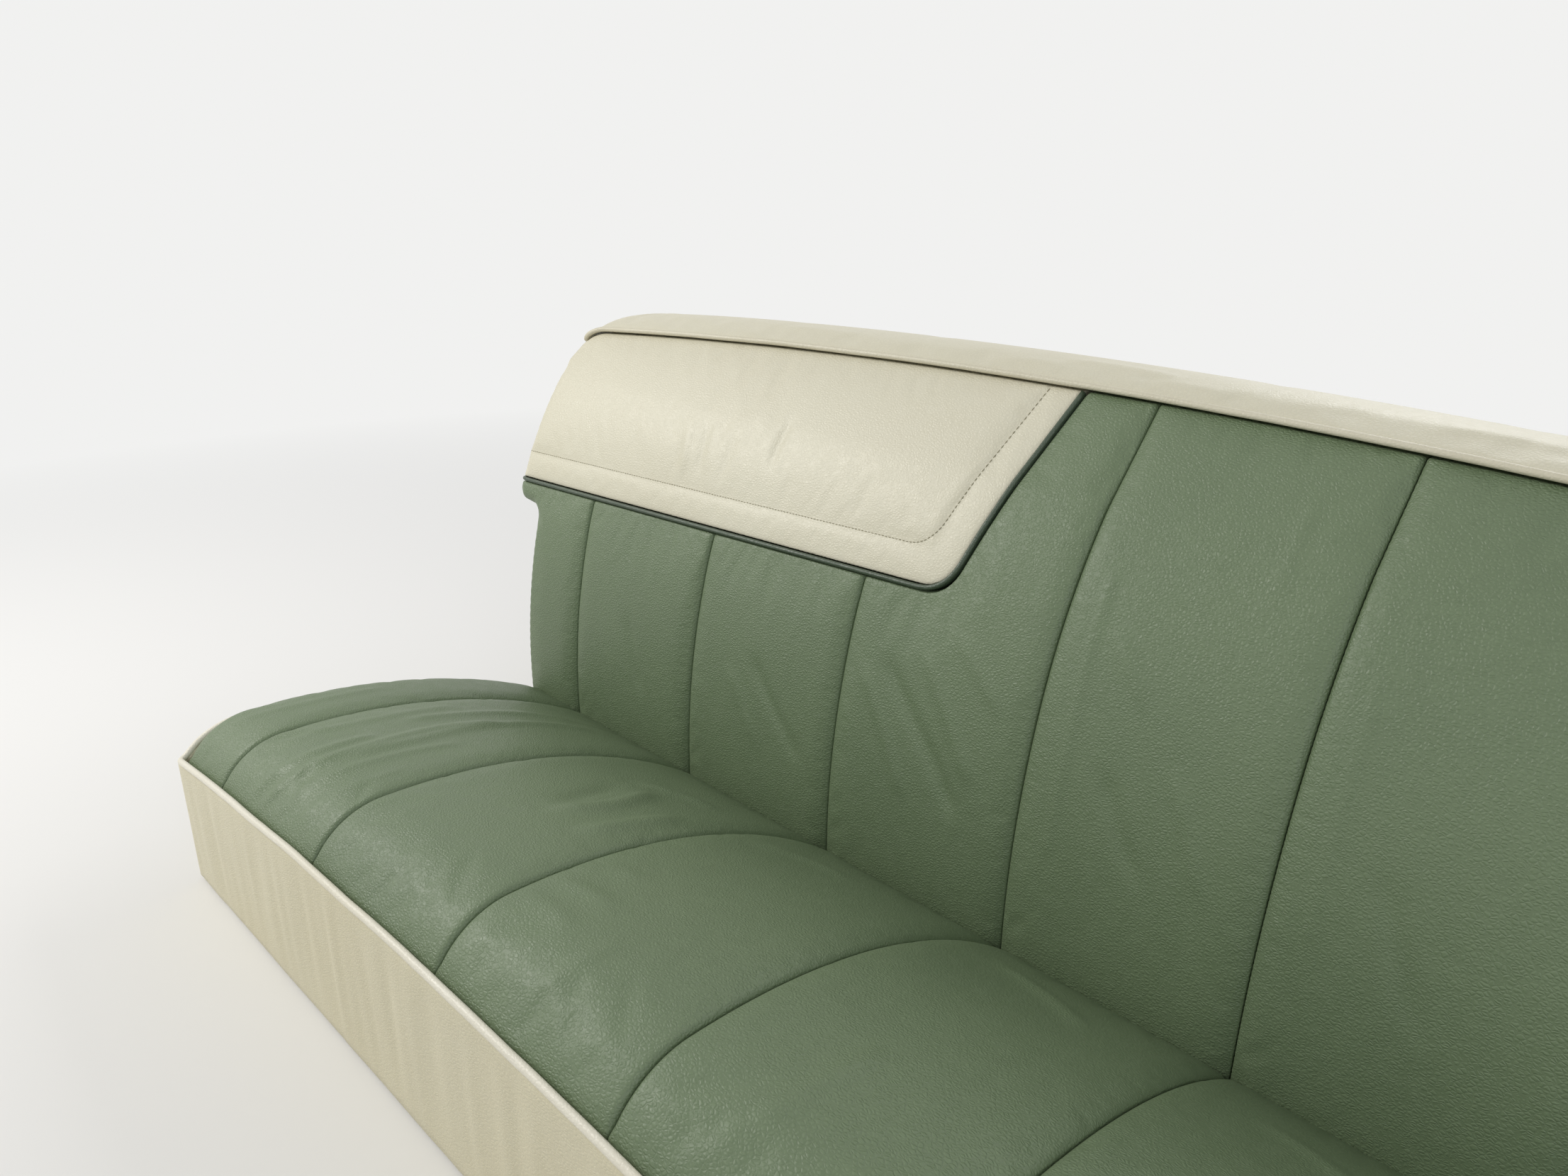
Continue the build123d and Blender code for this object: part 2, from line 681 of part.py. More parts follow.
# Brackets from the bottom rail down to the floor, each with a screw hole in its foot
lip_reach = wire / 2 + channel_depth
leg_top = (frame_point(angle_leg / 2, lip_reach), frame_point(angle_leg / 2, lip_reach + sheet))
leg_slope = up_frame[1] / up_frame[2]
leg_foot = [y - (z - floor_z) * leg_slope for y, z in leg_top]
foot_end = leg_foot[1] + foot_length
with BuildPart() as back_floor_brackets:
    for side in (-1, 1):
        with BuildSketch(side_view.offset(side * bracket_spacing / 2 - bracket_width / 2)):
            Polygon(
                leg_top[0],
                (leg_foot[0], floor_z),
                (foot_end, floor_z),
                (foot_end, floor_z + sheet),
                (leg_foot[1] + sheet * leg_slope, floor_z + sheet),
                leg_top[1],
                align=None,
            )
        extrude(amount=bracket_width)
    with BuildSketch(floor_view):
        with Locations(*[(side * bracket_spacing / 2, leg_foot[1] + foot_length / 2) for side in (-1, 1)]):
            Circle(hole_radius)
    extrude(amount=sheet, mode=Mode.SUBTRACT)
save(back_floor_brackets, "back_floor_brackets")

# Hangers: hooks on the lips of the top rail, that drop into the body behind the seat
hanger_places = [-2 * seam_pitch, 0, 2 * seam_pitch]
hook_low, hook_high = back_rise - angle_leg / 2, back_rise + angle_leg / 2
tongue = lip_reach + sheet + hanger_stand
with BuildPart() as back_hangers:
    for x in hanger_places:
        with BuildSketch(side_view.offset(x - hanger_width / 2)):
            Polygon(
                frame_point(hook_high, lip_reach),
                frame_point(hook_low, lip_reach),
                frame_point(hook_low, tongue),
                frame_point(hook_low - hanger_tongue, tongue),
                frame_point(hook_low - hanger_tongue, tongue + sheet),
                frame_point(hook_low + sheet, tongue + sheet),
                frame_point(hook_low + sheet, lip_reach + sheet),
                frame_point(hook_high, lip_reach + sheet),
                align=None,
            )
        extrude(amount=hanger_width)
save(back_hangers, "back_hangers")
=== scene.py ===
import math

import bmesh
import bpy
import numpy as np
from mathutils import Matrix, Vector, noise
from mathutils.bvhtree import BVHTree
from mathutils.geometry import delaunay_2d_cdt


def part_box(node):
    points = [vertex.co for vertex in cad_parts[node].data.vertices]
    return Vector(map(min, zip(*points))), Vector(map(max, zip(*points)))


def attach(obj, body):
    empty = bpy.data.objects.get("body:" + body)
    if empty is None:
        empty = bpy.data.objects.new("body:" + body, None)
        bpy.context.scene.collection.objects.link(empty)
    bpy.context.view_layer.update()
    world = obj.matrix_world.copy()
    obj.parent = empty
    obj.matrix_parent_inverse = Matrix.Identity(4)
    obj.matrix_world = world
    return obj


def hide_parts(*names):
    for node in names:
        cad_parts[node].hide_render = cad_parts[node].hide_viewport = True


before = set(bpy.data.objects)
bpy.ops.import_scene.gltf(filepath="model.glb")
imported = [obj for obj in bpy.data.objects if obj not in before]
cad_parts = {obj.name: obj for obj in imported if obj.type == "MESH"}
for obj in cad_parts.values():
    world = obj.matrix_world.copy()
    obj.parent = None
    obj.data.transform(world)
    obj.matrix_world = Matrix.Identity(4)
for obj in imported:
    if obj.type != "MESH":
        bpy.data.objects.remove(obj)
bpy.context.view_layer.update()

# Sizes of the seat that the frame does not state, in metres
SEAM_PITCH = 0.244
LOWER_HALF = 0.737
UPPER_HALF = 0.790
CREASE_HEIGHT = 0.110
GAP = 0.0003

CUSHION_DEPTH = 0.490
EDGE_HEIGHT = 0.099
CREST = (0.086, 0.146)          # behind the front edge, above the crease
NOSE = (0.026, 0.125)
CUSHION_CROWN = 0.042
FACING = 0.008
FACING_LOW = 0.003 - CREASE_HEIGHT
FACING_ROUND = 0.0015
END_SEAM_DROP = 0.016
PIPING = 0.004
PIPING_TURN = 0.010

BACK_HEIGHT = 0.531
BACK_LEAN = 0.201
BACK_CROWN = 0.029
BACK_CORNER = 0.050
BACK_TAIL = 0.050
STEP_HEIGHT = 0.270
HIP = 0.020
WAIST = (0.033, 0.260)          # setback, height
BROW = (0.120, 0.440)
BACK_PIPING = 0.0035
STRAIGHT = UPPER_HALF - BACK_CORNER
LEAN_SLOPE = (BACK_LEAN - BROW[0]) / (BACK_HEIGHT - BROW[1])

ROLL_DEPTH = 0.111
ROLL_RISE = 0.017
ROLL_FLAP = 0.046
ROLL_WALL = 0.022
ROLL_END = 0.010
# Top of the roll: part of its depth, part of its rise
ROLL_TOP = ((0.02, 0.24), (0.07, 0.50), (0.14, 0.72), (0.24, 0.90), (0.36, 1.0), (0.50, 1.02),
            (0.64, 0.96), (0.78, 0.78), (0.89, 0.50), (0.96, 0.20), (0.995, -0.15))

INSERT_LOW = 0.333
INSERT_OUTER_LOW = 0.301
INSERT_CORNER_X = -0.018
INSERT_TOP_X = 0.055
INSERT_RADIUS = 0.040
INSERT_PAST = 0.060             # how far its border is drawn past the edges of the back
WELT = 0.0055
WRAP = 0.016                    # rounding of the back's outer edges
BORDER = 0.034                  # stitched border of the insert
FLANGE = 0.0030
FLANGE_DEPTH = 0.011
CORNER_LIFT = 0.0016            # of the welt on the outer edge, where the covers' corners round off

WIRE = 0.004
WAVE_WIDTH = 0.046
SPRING_FOOT = 0.006
CUSHION_HANG = ((-0.4600, 0.0080), (-0.0230, -0.0520))
BACK_HANG = ((0.080, -0.040), (0.256, 0.478))
CUSHION_BOW = 0.020
BACK_BOW = 0.026
CLOTH_LIFT = WIRE / 2 + GAP
CLOTH_THICKNESS = 0.0018
PAD_LIFT = CLOTH_LIFT + 0.002 + GAP
# Springs: hang, bow, waves and half the width of the cloth over them
SPRUNG = {"cushion": (CUSHION_HANG, CUSHION_BOW, 13, 0.724), "back": (BACK_HANG, BACK_BOW, 15, 0.707)}
RAIL_X = LOWER_HALF - 0.030
LIP = 0.018
HOG_RING = 0.0048

# Meshes of the covers
SEAM_ROWS = (0.0, 0.0014, 0.0042, 0.0090)      # distances from a seam
ACROSS_STEP = 0.0062
OUTLINE_STEP = 0.006
PANEL_STEP = 0.0068
INSERT_STEP = 0.0075
RUN_POINTS = 92                 # from the front edge of the cushion to the crease
OVER_POINTS = 44                # over the roll
UNDER_POINTS = 18
SWELL_FRAMES = 20
# How the cloth solver blows up a cover: growth, pressure, largest move
CUSHION_BLOW = (0.005, 2.0, 0.0050)
PANEL_BLOW = (0.005, 2.0, 0.0045)
INSERT_BLOW = (0.0012, 1.6, 0.0050)
ROLL_BLOW = (0.003, 0.8, 0.0022)
SOLVER = {"quality": 4, "mass": 0.25, "tension_stiffness": 18, "compression_stiffness": 18,
          "shear_stiffness": 8, "bending_stiffness": 1.6, "vertex_group_mass": "pinned", "use_pressure": True}
PALE_COVERS = ("back_insert_cover", "back_roll_cover")

SEAMS = [SEAM_PITCH * (i - 2.5) for i in range(6)]
CREASE_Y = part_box("cushion_panel_4")[1].y + GAP


def at(x, y, z):
    """Point given from the middle of the crease between cushion and back."""
    return (x, CREASE_Y + y, CREASE_HEIGHT + z)


def noise_at(x, y, z):
    return noise.noise(Vector((x, y, z)))


# Lines and outlines


def direction(a, b):
    """Parts of the unit vector from a to b, and the distance."""
    length = math.hypot(b[0] - a[0], b[1] - a[1])
    return (b[0] - a[0]) / length, (b[1] - a[1]) / length, length


def arc_points(centre, radius, start, sweep, count):
    turns = [start + sweep * i / (count - 1) for i in range(count)]
    return [(centre[0] + radius * math.cos(t), centre[1] + radius * math.sin(t)) for t in turns]


def arc_through(a, b, c, count):
    """Points on the arc from a through b to c."""
    (x0, y0), (x1, y1), (x2, y2) = a, b, c
    d = 2 * (x0 * (y1 - y2) + x1 * (y2 - y0) + x2 * (y0 - y1))
    s0, s1, s2 = x0 * x0 + y0 * y0, x1 * x1 + y1 * y1, x2 * x2 + y2 * y2
    cx = (s0 * (y1 - y2) + s1 * (y2 - y0) + s2 * (y0 - y1)) / d
    cy = (s0 * (x2 - x1) + s1 * (x0 - x2) + s2 * (x1 - x0)) / d
    start, through, end = (math.atan2(y - cy, x - cx) for x, y in (a, b, c))
    sweep = (end - start) % (2 * math.pi)
    if (through - start) % (2 * math.pi) > sweep:
        sweep -= 2 * math.pi
    return arc_points((cx, cy), math.hypot(x0 - cx, y0 - cy), start, sweep, count)


def arc_tangent(a, heading, b, count):
    """Points on the arc that leaves a along a heading and ends at b."""
    hx, hy, _ = direction((0, 0), heading)
    dx, dy = b[0] - a[0], b[1] - a[1]
    radius = (dx * dx + dy * dy) / (2 * (dx * -hy + dy * hx))
    cx, cy = a[0] - hy * radius, a[1] + hx * radius
    start, end = (math.atan2(y - cy, x - cx) for x, y in (a, b))
    sweep = (end - start + math.pi) % (2 * math.pi) - math.pi
    return arc_points((cx, cy), abs(radius), start, sweep, count)


def stretches(line):
    """Distance from each point of a line to the next."""
    return np.linalg.norm(np.diff(line, axis=0), axis=1)


def resample(points, count):
    """The same line with evenly spaced points."""
    line = np.array(points, float)
    run = np.concatenate([[0], np.cumsum(stretches(line))])
    where = np.linspace(0, run[-1], count)
    return np.stack([np.interp(where, run, line[:, k]) for k in range(line.shape[1])], axis=1)


def spaced(points, step):
    """The same line with points about this far apart."""
    line = np.array(points, float)
    return resample(line, max(2, int(round(stretches(line).sum() / step)) + 1))


def soften(points, passes):
    """Rounds the breaks in a line, which keeps its ends."""
    line = np.array(points, float)
    for _ in range(passes):
        line[1:-1] = 0.25 * line[:-2] + 0.5 * line[1:-1] + 0.25 * line[2:]
    return line


def unit_rows(rows):
    return rows / np.linalg.norm(rows, axis=1)[:, None]


def ease(part):
    """Smooth rise from 0 to 1."""
    return part * part * (3 - 2 * part)


def crown(x, fall, half):
    return fall * (x / half) ** 2


def front_top(x):
    """Height of the cushion's front edge at x."""
    return EDGE_HEIGHT - crown(x, CUSHION_CROWN, LOWER_HALF)


def nose_line(x, lower):
    """Line over the cushion at x, from its front edge to the crease; lower drops all but the front."""
    drop = crown(x, CUSHION_CROWN, LOWER_HALF)
    front = (-CUSHION_DEPTH + FACING - 0.0025, front_top(x))
    nose = (-CUSHION_DEPTH + NOSE[0], NOSE[1] - drop - 0.6 * lower)
    crest = (-CUSHION_DEPTH + CREST[0], CREST[1] - drop - lower)
    roll = arc_through(front, nose, crest, 24)
    heading = (roll[-1][0] - roll[-2][0], roll[-1][1] - roll[-2][1])
    return roll + arc_tangent(crest, heading, (-GAP, -lower), 40)[1:]


def bow_line(hang, bow, lift, count):
    """Arc of the springs of one frame, or of what lies this far above them."""
    (y0, z0), (y1, z1) = hang
    up_y, up_z, _ = direction(*hang)
    out = (-up_z, up_y)
    middle = ((y0 + y1) / 2 + out[0] * (bow + lift), (z0 + z1) / 2 + out[1] * (bow + lift))
    ends = [(y + out[0] * lift, z + out[1] * lift) for y, z in hang]
    return arc_through(ends[0], middle, ends[1], count)


# Front and rear of the back: setback for each height
SHIN = arc_tangent((GAP, HIP), (0, 1), WAIST, 30)
THIGH = arc_tangent(WAIST, (SHIN[-1][0] - SHIN[-2][0], SHIN[-1][1] - SHIN[-2][1]), BROW, 30)
FRONT = np.array([(GAP, -0.2), *SHIN, *THIGH[1:], (BACK_LEAN, BACK_HEIGHT), (0.24, 0.576)])
REAR_BOW = bow_line(BACK_HANG, BACK_BOW, PAD_LIFT, 40)
REAR = np.array([(REAR_BOW[0][0] - 0.008, -0.2), *REAR_BOW, (REAR_BOW[-1][0], 0.7)])


def front_setback(z):
    """Setback of the front of the back at these heights, and its slope."""
    step = 0.004
    ahead, behind = (np.interp(z + s, FRONT[:, 1], FRONT[:, 0]) for s in (step, -step))
    middle = np.interp(z, FRONT[:, 1], FRONT[:, 0])
    return (ahead + behind + 2 * middle) / 4, (ahead - behind) / (2 * step)


def back_top(x):
    """Height of the back's top edge at x, round the corners too."""
    into = min(max(0.0, abs(x) - STRAIGHT), BACK_CORNER)
    drop = crown(min(abs(x), STRAIGHT), BACK_CROWN, UPPER_HALF) + BACK_CORNER
    return BACK_HEIGHT - drop + math.sqrt(BACK_CORNER ** 2 - into ** 2)


def insert_edge(grow):
    """Lower and inner edge of the insert in the front view, from the outer end to past the top."""
    run = (INSERT_CORNER_X + UPPER_HALF + INSERT_PAST, INSERT_LOW - INSERT_OUTER_LOW)
    climb = (INSERT_TOP_X - INSERT_CORNER_X, BACK_HEIGHT + INSERT_PAST - INSERT_LOW + grow)
    corner = (INSERT_CORNER_X + grow, INSERT_LOW - grow)
    a1, a2 = math.atan2(*run[::-1]), math.atan2(*climb[::-1])
    cut = INSERT_RADIUS * math.tan((a2 - a1) / 2)
    before = (corner[0] - cut * math.cos(a1), corner[1] - cut * math.sin(a1))
    after = (corner[0] + cut * math.cos(a2), corner[1] + cut * math.sin(a2))
    outer_z = corner[1] - run[1] / run[0] * (corner[0] + UPPER_HALF + INSERT_PAST)
    top = (corner[0] + climb[0], corner[1] + climb[1])
    bend = arc_tangent(before, (math.cos(a1), math.sin(a1)), after, 14)
    return [(-UPPER_HALF - INSERT_PAST, outer_z), *bend, top]


# Meshes


def grid_mesh(rows):
    """Closed mesh through loops of points, rows[i][j], with a face over the first and the last."""
    count, width = len(rows), len(rows[0])
    faces = []
    for i in range(count - 1):
        for j in range(width):
            a, b = i * width + j, i * width + (j + 1) % width
            faces.append((a, b, b + width, a + width))
    faces.append(tuple(range(width))[::-1])
    faces.append(tuple((count - 1) * width + j for j in range(width)))
    mesh = bpy.data.meshes.new("part")
    mesh.from_pydata([tuple(point) for row in rows for point in row], [], faces)
    face_outward(mesh)
    return mesh


def face_outward(mesh):
    """Turns every face of a closed mesh outward."""
    work = bmesh.new()
    work.from_mesh(mesh)
    bmesh.ops.recalc_face_normals(work, faces=work.faces)
    work.to_mesh(mesh)
    work.free()
    mesh.shade_smooth()


def heading_at(path, i):
    return path[min(i + 1, len(path) - 1)] - path[max(i - 1, 0)]


def tube_mesh(points, radius, sides=12):
    """Bar along a line, turned as little as possible. It has one radius, or a list of them."""
    path = [Vector(p) for p in points]
    radii = radius if isinstance(radius, list) else [radius] * len(path)
    turns = [2 * math.pi * k / sides for k in range(sides)]
    rows = []
    normal = None
    for i, point in enumerate(path):
        heading = heading_at(path, i).normalized()
        if normal is None:
            normal = heading.orthogonal().normalized()
        normal = (normal - heading * normal.dot(heading)).normalized()
        side = heading.cross(normal)
        rows.append([point + radii[i] * (math.cos(t) * normal + math.sin(t) * side) for t in turns])
    return grid_mesh(rows)


def add_object(name, data):
    data.name = name
    thing = bpy.data.objects.new(name, data)
    bpy.context.scene.collection.objects.link(thing)
    return thing


def dress(piece, material):
    piece.data.materials.clear()
    piece.data.materials.append(material)


def finish_piece(piece, slot, material, *replaced):
    dress(piece, material)
    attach(piece, "root")
    if replaced:
        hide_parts(*replaced)
    return piece


def add_piece(name, meshes, slot, material, *replaced):
    """One piece from several meshes."""
    work = bmesh.new()
    for mesh in meshes:
        work.from_mesh(mesh)
        bpy.data.meshes.remove(mesh)
    mesh = bpy.data.meshes.new(name)
    work.to_mesh(mesh)
    work.free()
    mesh.shade_smooth()
    return finish_piece(add_object(name, mesh), slot, material, *replaced)


# Padded covers: each is a closed mesh whose sewn edges and hidden sides are pinned


def sewn_sink(distance, pinch, pinch_width, hollow, hollow_width):
    """How far the leather lies below the padding at a distance from a sewn line."""
    d = np.maximum(distance, 0)
    return pinch * np.exp(-((d / pinch_width) ** 2)) + hollow * np.exp(-d / hollow_width)


def edge_sink(distance, radius):
    """The same where the leather rolls over an outer edge of the padding."""
    d = np.clip(distance / radius, 0, 1)
    return radius * (1 - np.sqrt(1 - (1 - d) ** 2))


SINKS = {
    "seam": (sewn_sink, 0.0036, 0.0019, 0.0015, 0.010),
    "welt": (sewn_sink, 0.0018, 0.0016, 0.0010, 0.012),
    "top": (edge_sink, 0.008),
    "edge": (edge_sink, WRAP),
}


def sink_at(kind, distance):
    shape, *sizes = SINKS[kind]
    return shape(distance, *sizes)


def across(left, right, step):
    """Places across a panel, close together at its seams."""
    inner = np.linspace(left + 0.015, right - 0.015, int((right - left - 0.030) / step) + 1)
    return [left + e for e in SEAM_ROWS] + list(inner) + [right - e for e in SEAM_ROWS[::-1]]


covers = []


def keep_cover(name, mesh, free, replaced, blow):
    """Notes a cover and which of its vertices are free."""
    covers.append({"object": add_object(name, mesh), "free": free, "replaces": replaced, "blow": blow})


def cushion_cover(number, left, right):
    """Sewn panel of the cushion, over its padding, from the piping down into the crease."""
    rows, free = [], []
    fade = np.clip(np.linspace(0, 0.56, RUN_POINTS) / 0.012, 0.35, 1)
    wall_y = -CUSHION_DEPTH + FACING + GAP
    base = [(-GAP, CUSHION_HANG[1][1] + PAD_LIFT), *bow_line(CUSHION_HANG, CUSHION_BOW, PAD_LIFT, 12)[::-1]]
    for x in across(left + GAP / 2, right - GAP / 2, ACROSS_STEP):
        near_left, near_right = x - left, right - x
        line = resample(nose_line(x, 0.0), RUN_POINTS)
        slope = np.gradient(line, axis=0)
        normal = unit_rows(np.stack([-slope[:, 1], slope[:, 0]], axis=1))
        sink = np.zeros(RUN_POINTS)
        for distance, outer in ((near_left, number == 1), (near_right, number == 7)):
            sink += edge_sink(distance, 0.020) * 0.85 if outer else sink_at("seam", distance)
        line = line - normal * (sink * fade)[:, None]
        rear = [(-GAP, line[-1][1] - 0.006), (-GAP, line[-1][1] - 0.020)]
        wall = [(wall_y, z) for z in np.linspace(CUSHION_HANG[0][1] + PAD_LIFT, line[0][1] - 0.006, 4)]
        rows.append([at(x, y, z) for y, z in [*line, *rear, *base, *wall]])
        held = near_left < 0.002 or near_right < 0.002
        free += [not held and 1 < j < RUN_POINTS - 1 for j in range(len(rows[0]))]
    keep_cover(f"cushion_cover_{number}", grid_mesh(rows), free, f"cushion_panel_{number}", CUSHION_BLOW)


def inset(outline, distance):
    """A closed outline moved inward."""
    ahead, behind = unit_rows(np.roll(outline, -1, 0) - outline), unit_rows(outline - np.roll(outline, 1, 0))
    middle = unit_rows(ahead + behind)
    normal = np.stack([-middle[:, 1], middle[:, 0]], axis=1)
    reach = np.maximum(np.abs((behind * middle).sum(axis=1)), 0.5)
    return outline + normal * (distance / reach)[:, None]


def distance_to(points, line):
    """Distance of each point from an open line."""
    run = line[1:] - line[:-1]
    best = np.full(len(points), 9.0)
    for start, step, square in zip(line[:-1], run, (run ** 2).sum(axis=1)):
        part = np.clip(((points - start) @ step) / max(square, 1e-12), 0, 1)
        near = start + part[:, None] * step
        best = np.minimum(best, np.linalg.norm(points - near, axis=1))
    return best


def inside(points, outline):
    x, y = points[:, 0], points[:, 1]
    within = np.zeros(len(points), bool)
    for (x1, y1), (x0, y0) in zip(outline, np.roll(outline, 1, 0)):
        crosses = (y1 > y) != (y0 > y)
        if y1 != y0:
            within ^= crosses & (x < (x0 - x1) * (y - y1) / (y0 - y1) + x1)
    return within


def back_cover(name, sides, replaced, blow, step, stitched=None):
    """Sewn piece of the back. sides is its outline: lines with a kind each, anticlockwise."""
    lines = [(kind, spaced(line, OUTLINE_STEP)) for kind, line in sides]
    outline = np.concatenate([line[:-1] for _, line in lines])
    whole = np.concatenate([outline, outline[:1]])
    low, high = outline.min(axis=0), outline.max(axis=0)
    columns = np.arange(low[0] + step / 2, high[0], step)
    levels = np.arange(low[1] + step / 2, high[1], step * 0.9)
    grid = np.array([(x + (k % 2) * step / 2, z) for k, z in enumerate(levels) for x in columns])
    grid = grid[inside(grid, outline)]
    grid = grid[distance_to(grid, whole) > 0.0085]
    if stitched is not None:
        grid = np.concatenate([grid[distance_to(grid, stitched) > 0.003], stitched])
    points = np.concatenate([outline, *(inset(outline, d) for d in SEAM_ROWS[1:3]), grid])
    points = points[inside(points, outline) | (np.arange(len(points)) < len(outline))]
    edges = [(i, (i + 1) % len(outline)) for i in range(len(outline))]
    flat, _, faces, *_ = delaunay_2d_cdt([Vector(p) for p in points], edges, [], 1, 1e-7)
    flat = np.array([tuple(p) for p in flat])
    sink = np.zeros(len(flat))
    for kind, line in lines:
        distance = distance_to(flat, line)
        sink = np.maximum(sink, sink_at(kind, distance))
        if kind == "welt" and stitched is not None:
            sink += 0.0022 * (1 - ease(np.clip((distance - BORDER) / 0.014, 0, 1)))
            sink += 0.0009 * np.exp(-((distance_to(flat, stitched) / 0.003) ** 2))
    setback, slope = front_setback(flat[:, 1])
    tilt = np.sqrt(1 + slope ** 2)
    front_y = setback + sink / tilt
    front_z = flat[:, 1] - sink * slope / tilt
    rear_y = np.interp(flat[:, 1], REAR[:, 1], REAR[:, 0]) - GAP
    vertices = [at(x, y, z) for (x, _), y, z in zip(flat, front_y, front_z)]
    vertices += [at(x, y, z) for (x, z), y in zip(flat, rear_y)]
    offset = len(flat)
    polygons = [tuple(f) for f in faces] + [tuple(offset + v for v in f[::-1]) for f in faces]
    seen = {(a, b): None for face in faces for a, b in zip(face, [*face[1:], face[0]])}
    polygons += [(b, a, offset + a, offset + b) for a, b in seen if (b, a) not in seen]
    mesh = bpy.data.meshes.new(name)
    mesh.from_pydata(vertices, [], polygons)
    mesh.validate()
    face_outward(mesh)
    loose = distance_to(flat, whole) > 0.003
    if stitched is not None:
        loose &= distance_to(flat, stitched) > 0.001
    keep_cover(name, mesh, list(loose) + [False] * offset, replaced, blow)


def vertex_values(mesh, what="co"):
    values = np.empty(len(mesh.vertices) * 3)
    mesh.vertices.foreach_get(what, values)
    return values.reshape(-1, 3)


def fold_height(points, folds):
    """Height of the leather's long soft folds at places in a flat view."""
    total = np.zeros(len(points))
    for height, width, *line in folds:
        width = width / 10000
        path = soften(spaced(np.array(line) / 1000, 0.02), 4)
        ends = np.minimum(*(np.linalg.norm(points - path[k], axis=1) for k in (0, -1)))
        near = np.exp(-((distance_to(points, path) / width) ** 2))
        total += height / 10000 * near * ease(np.clip(ends / (4 * width), 0, 1))
    return total


def add_folds(cover):
    """Raises the folds of a cover, fading at the seams."""
    mesh, name = cover["object"].data, cover["object"].name
    spots = vertex_values(mesh)
    if name.startswith("cushion"):
        folds, axis, zero = CUSHION_FOLDS, 1, CREASE_Y
    elif name == "back_roll_cover":
        folds, axis, zero = ROLL_FOLDS, 1, CREASE_Y
    else:
        folds, axis, zero = BACK_FOLDS, 2, CREASE_HEIGHT
    flat = np.stack([spots[:, 0], spots[:, axis] - zero], axis=1)
    seams = np.min([np.abs(spots[:, 0] - x) for x in SEAMS], axis=0)
    fade = 1 if name in PALE_COVERS else 1 - np.exp(-((seams / 0.010) ** 2))
    height = fold_height(flat, folds) * fade * np.array(cover["free"])
    raised = spots + vertex_values(mesh, "normal") * height[:, None]
    mesh.vertices.foreach_set("co", raised.ravel())
    mesh.update()


def swell():
    """Blows up the pinned covers a little with the cloth solver and keeps each point near its padding."""
    scene = bpy.context.scene
    for cover in covers:
        piece = cover["object"]
        growth, pressure, _ = cover["blow"]
        group = piece.vertex_groups.new(name="pinned")
        group.add([i for i, free in enumerate(cover["free"]) if not free], 1.0, "REPLACE")
        cloth = piece.modifiers.new("cloth", "CLOTH")
        cloth.point_cache.frame_start = 1
        cloth.point_cache.frame_end = SWELL_FRAMES
        for word, value in SOLVER.items():
            setattr(cloth.settings, word, value)
        cloth.settings.uniform_pressure_force = pressure
        cloth.settings.shrink_min = cloth.settings.shrink_max = -growth
        cloth.settings.effector_weights.gravity = 0
    for number in range(1, SWELL_FRAMES + 1):
        scene.frame_set(number)
    depsgraph = bpy.context.evaluated_depsgraph_get()
    for cover in covers:
        piece = cover["object"]
        cover["moved"] = vertex_values(piece.evaluated_get(depsgraph).data) - vertex_values(piece.data)
    for cover in covers:
        piece, move, cap = cover["object"], cover["moved"], cover["blow"][2]
        piece.modifiers.clear()
        piece.vertex_groups.clear()
        length = np.linalg.norm(move, axis=1)
        scale = np.where(length > 1e-9, cap * np.tanh(length / cap) / np.maximum(length, 1e-9), 1)
        kept = vertex_values(piece.data) + move * scale[:, None]
        piece.data.vertices.foreach_set("co", kept.ravel())
        piece.data.update()
    scene.frame_set(1)


def round_off(piece):
    """Subdivides a mesh once and keeps the result."""
    modifier = piece.modifiers.new("smooth", "SUBSURF")
    modifier.levels = 1
    modifier.use_limit_surface = False
    depsgraph = bpy.context.evaluated_depsgraph_get()
    mesh = bpy.data.meshes.new_from_object(piece.evaluated_get(depsgraph))
    piece.modifiers.clear()
    old = piece.data
    piece.data = mesh
    mesh.name = old.name
    bpy.data.meshes.remove(old)
    mesh.shade_smooth()


# Materials


class Nodes:
    """The shader nodes of one material, or of the world."""

    def __init__(self, owner):
        owner.use_nodes = True
        self.owner, self.tree = owner, owner.node_tree

    def fill(self, node, inputs):
        """Sets the inputs of a node, or links those whose value is an output of another."""
        for key, value in inputs.items():
            if isinstance(value, bpy.types.NodeSocket):
                self.tree.links.new(value, node.inputs[key])
            else:
                node.inputs[key].default_value = value

    def add(self, kind, output, inputs, **settings):
        """Makes a node and gives one of its outputs."""
        made = self.tree.nodes.new("ShaderNode" + kind)
        for word, value in settings.items():
            setattr(made, word, value)
        self.fill(made, inputs)
        return made.outputs[output]

    def rays(self):
        return self.add("LightPath", "Is Camera Ray", {}).node.outputs

    def calc(self, operation, *values):
        return self.add("Math", "Value", dict(enumerate(values)), operation=operation)

    def vector(self, operation, *values):
        return self.add("VectorMath", "Vector", dict(enumerate(values)), operation=operation)

    def remap(self, value, low, high, to_low, to_high, shape="LINEAR"):
        inputs = {"Value": value, "From Min": low, "From Max": high, "To Min": to_low, "To Max": to_high}
        return self.add("MapRange", "Result", inputs, interpolation_type=shape)

    def mix(self, amount, first, second, blend="MIX"):
        inputs = {"Factor": amount, "A": first, "B": second}
        return self.add("Mix", "Result", inputs, data_type="RGBA", blend_type=blend)

    def bump(self, height, strength, distance, **below):
        inputs = {"Height": height, "Strength": strength, "Distance": distance, **below}
        return self.add("Bump", "Normal", inputs)


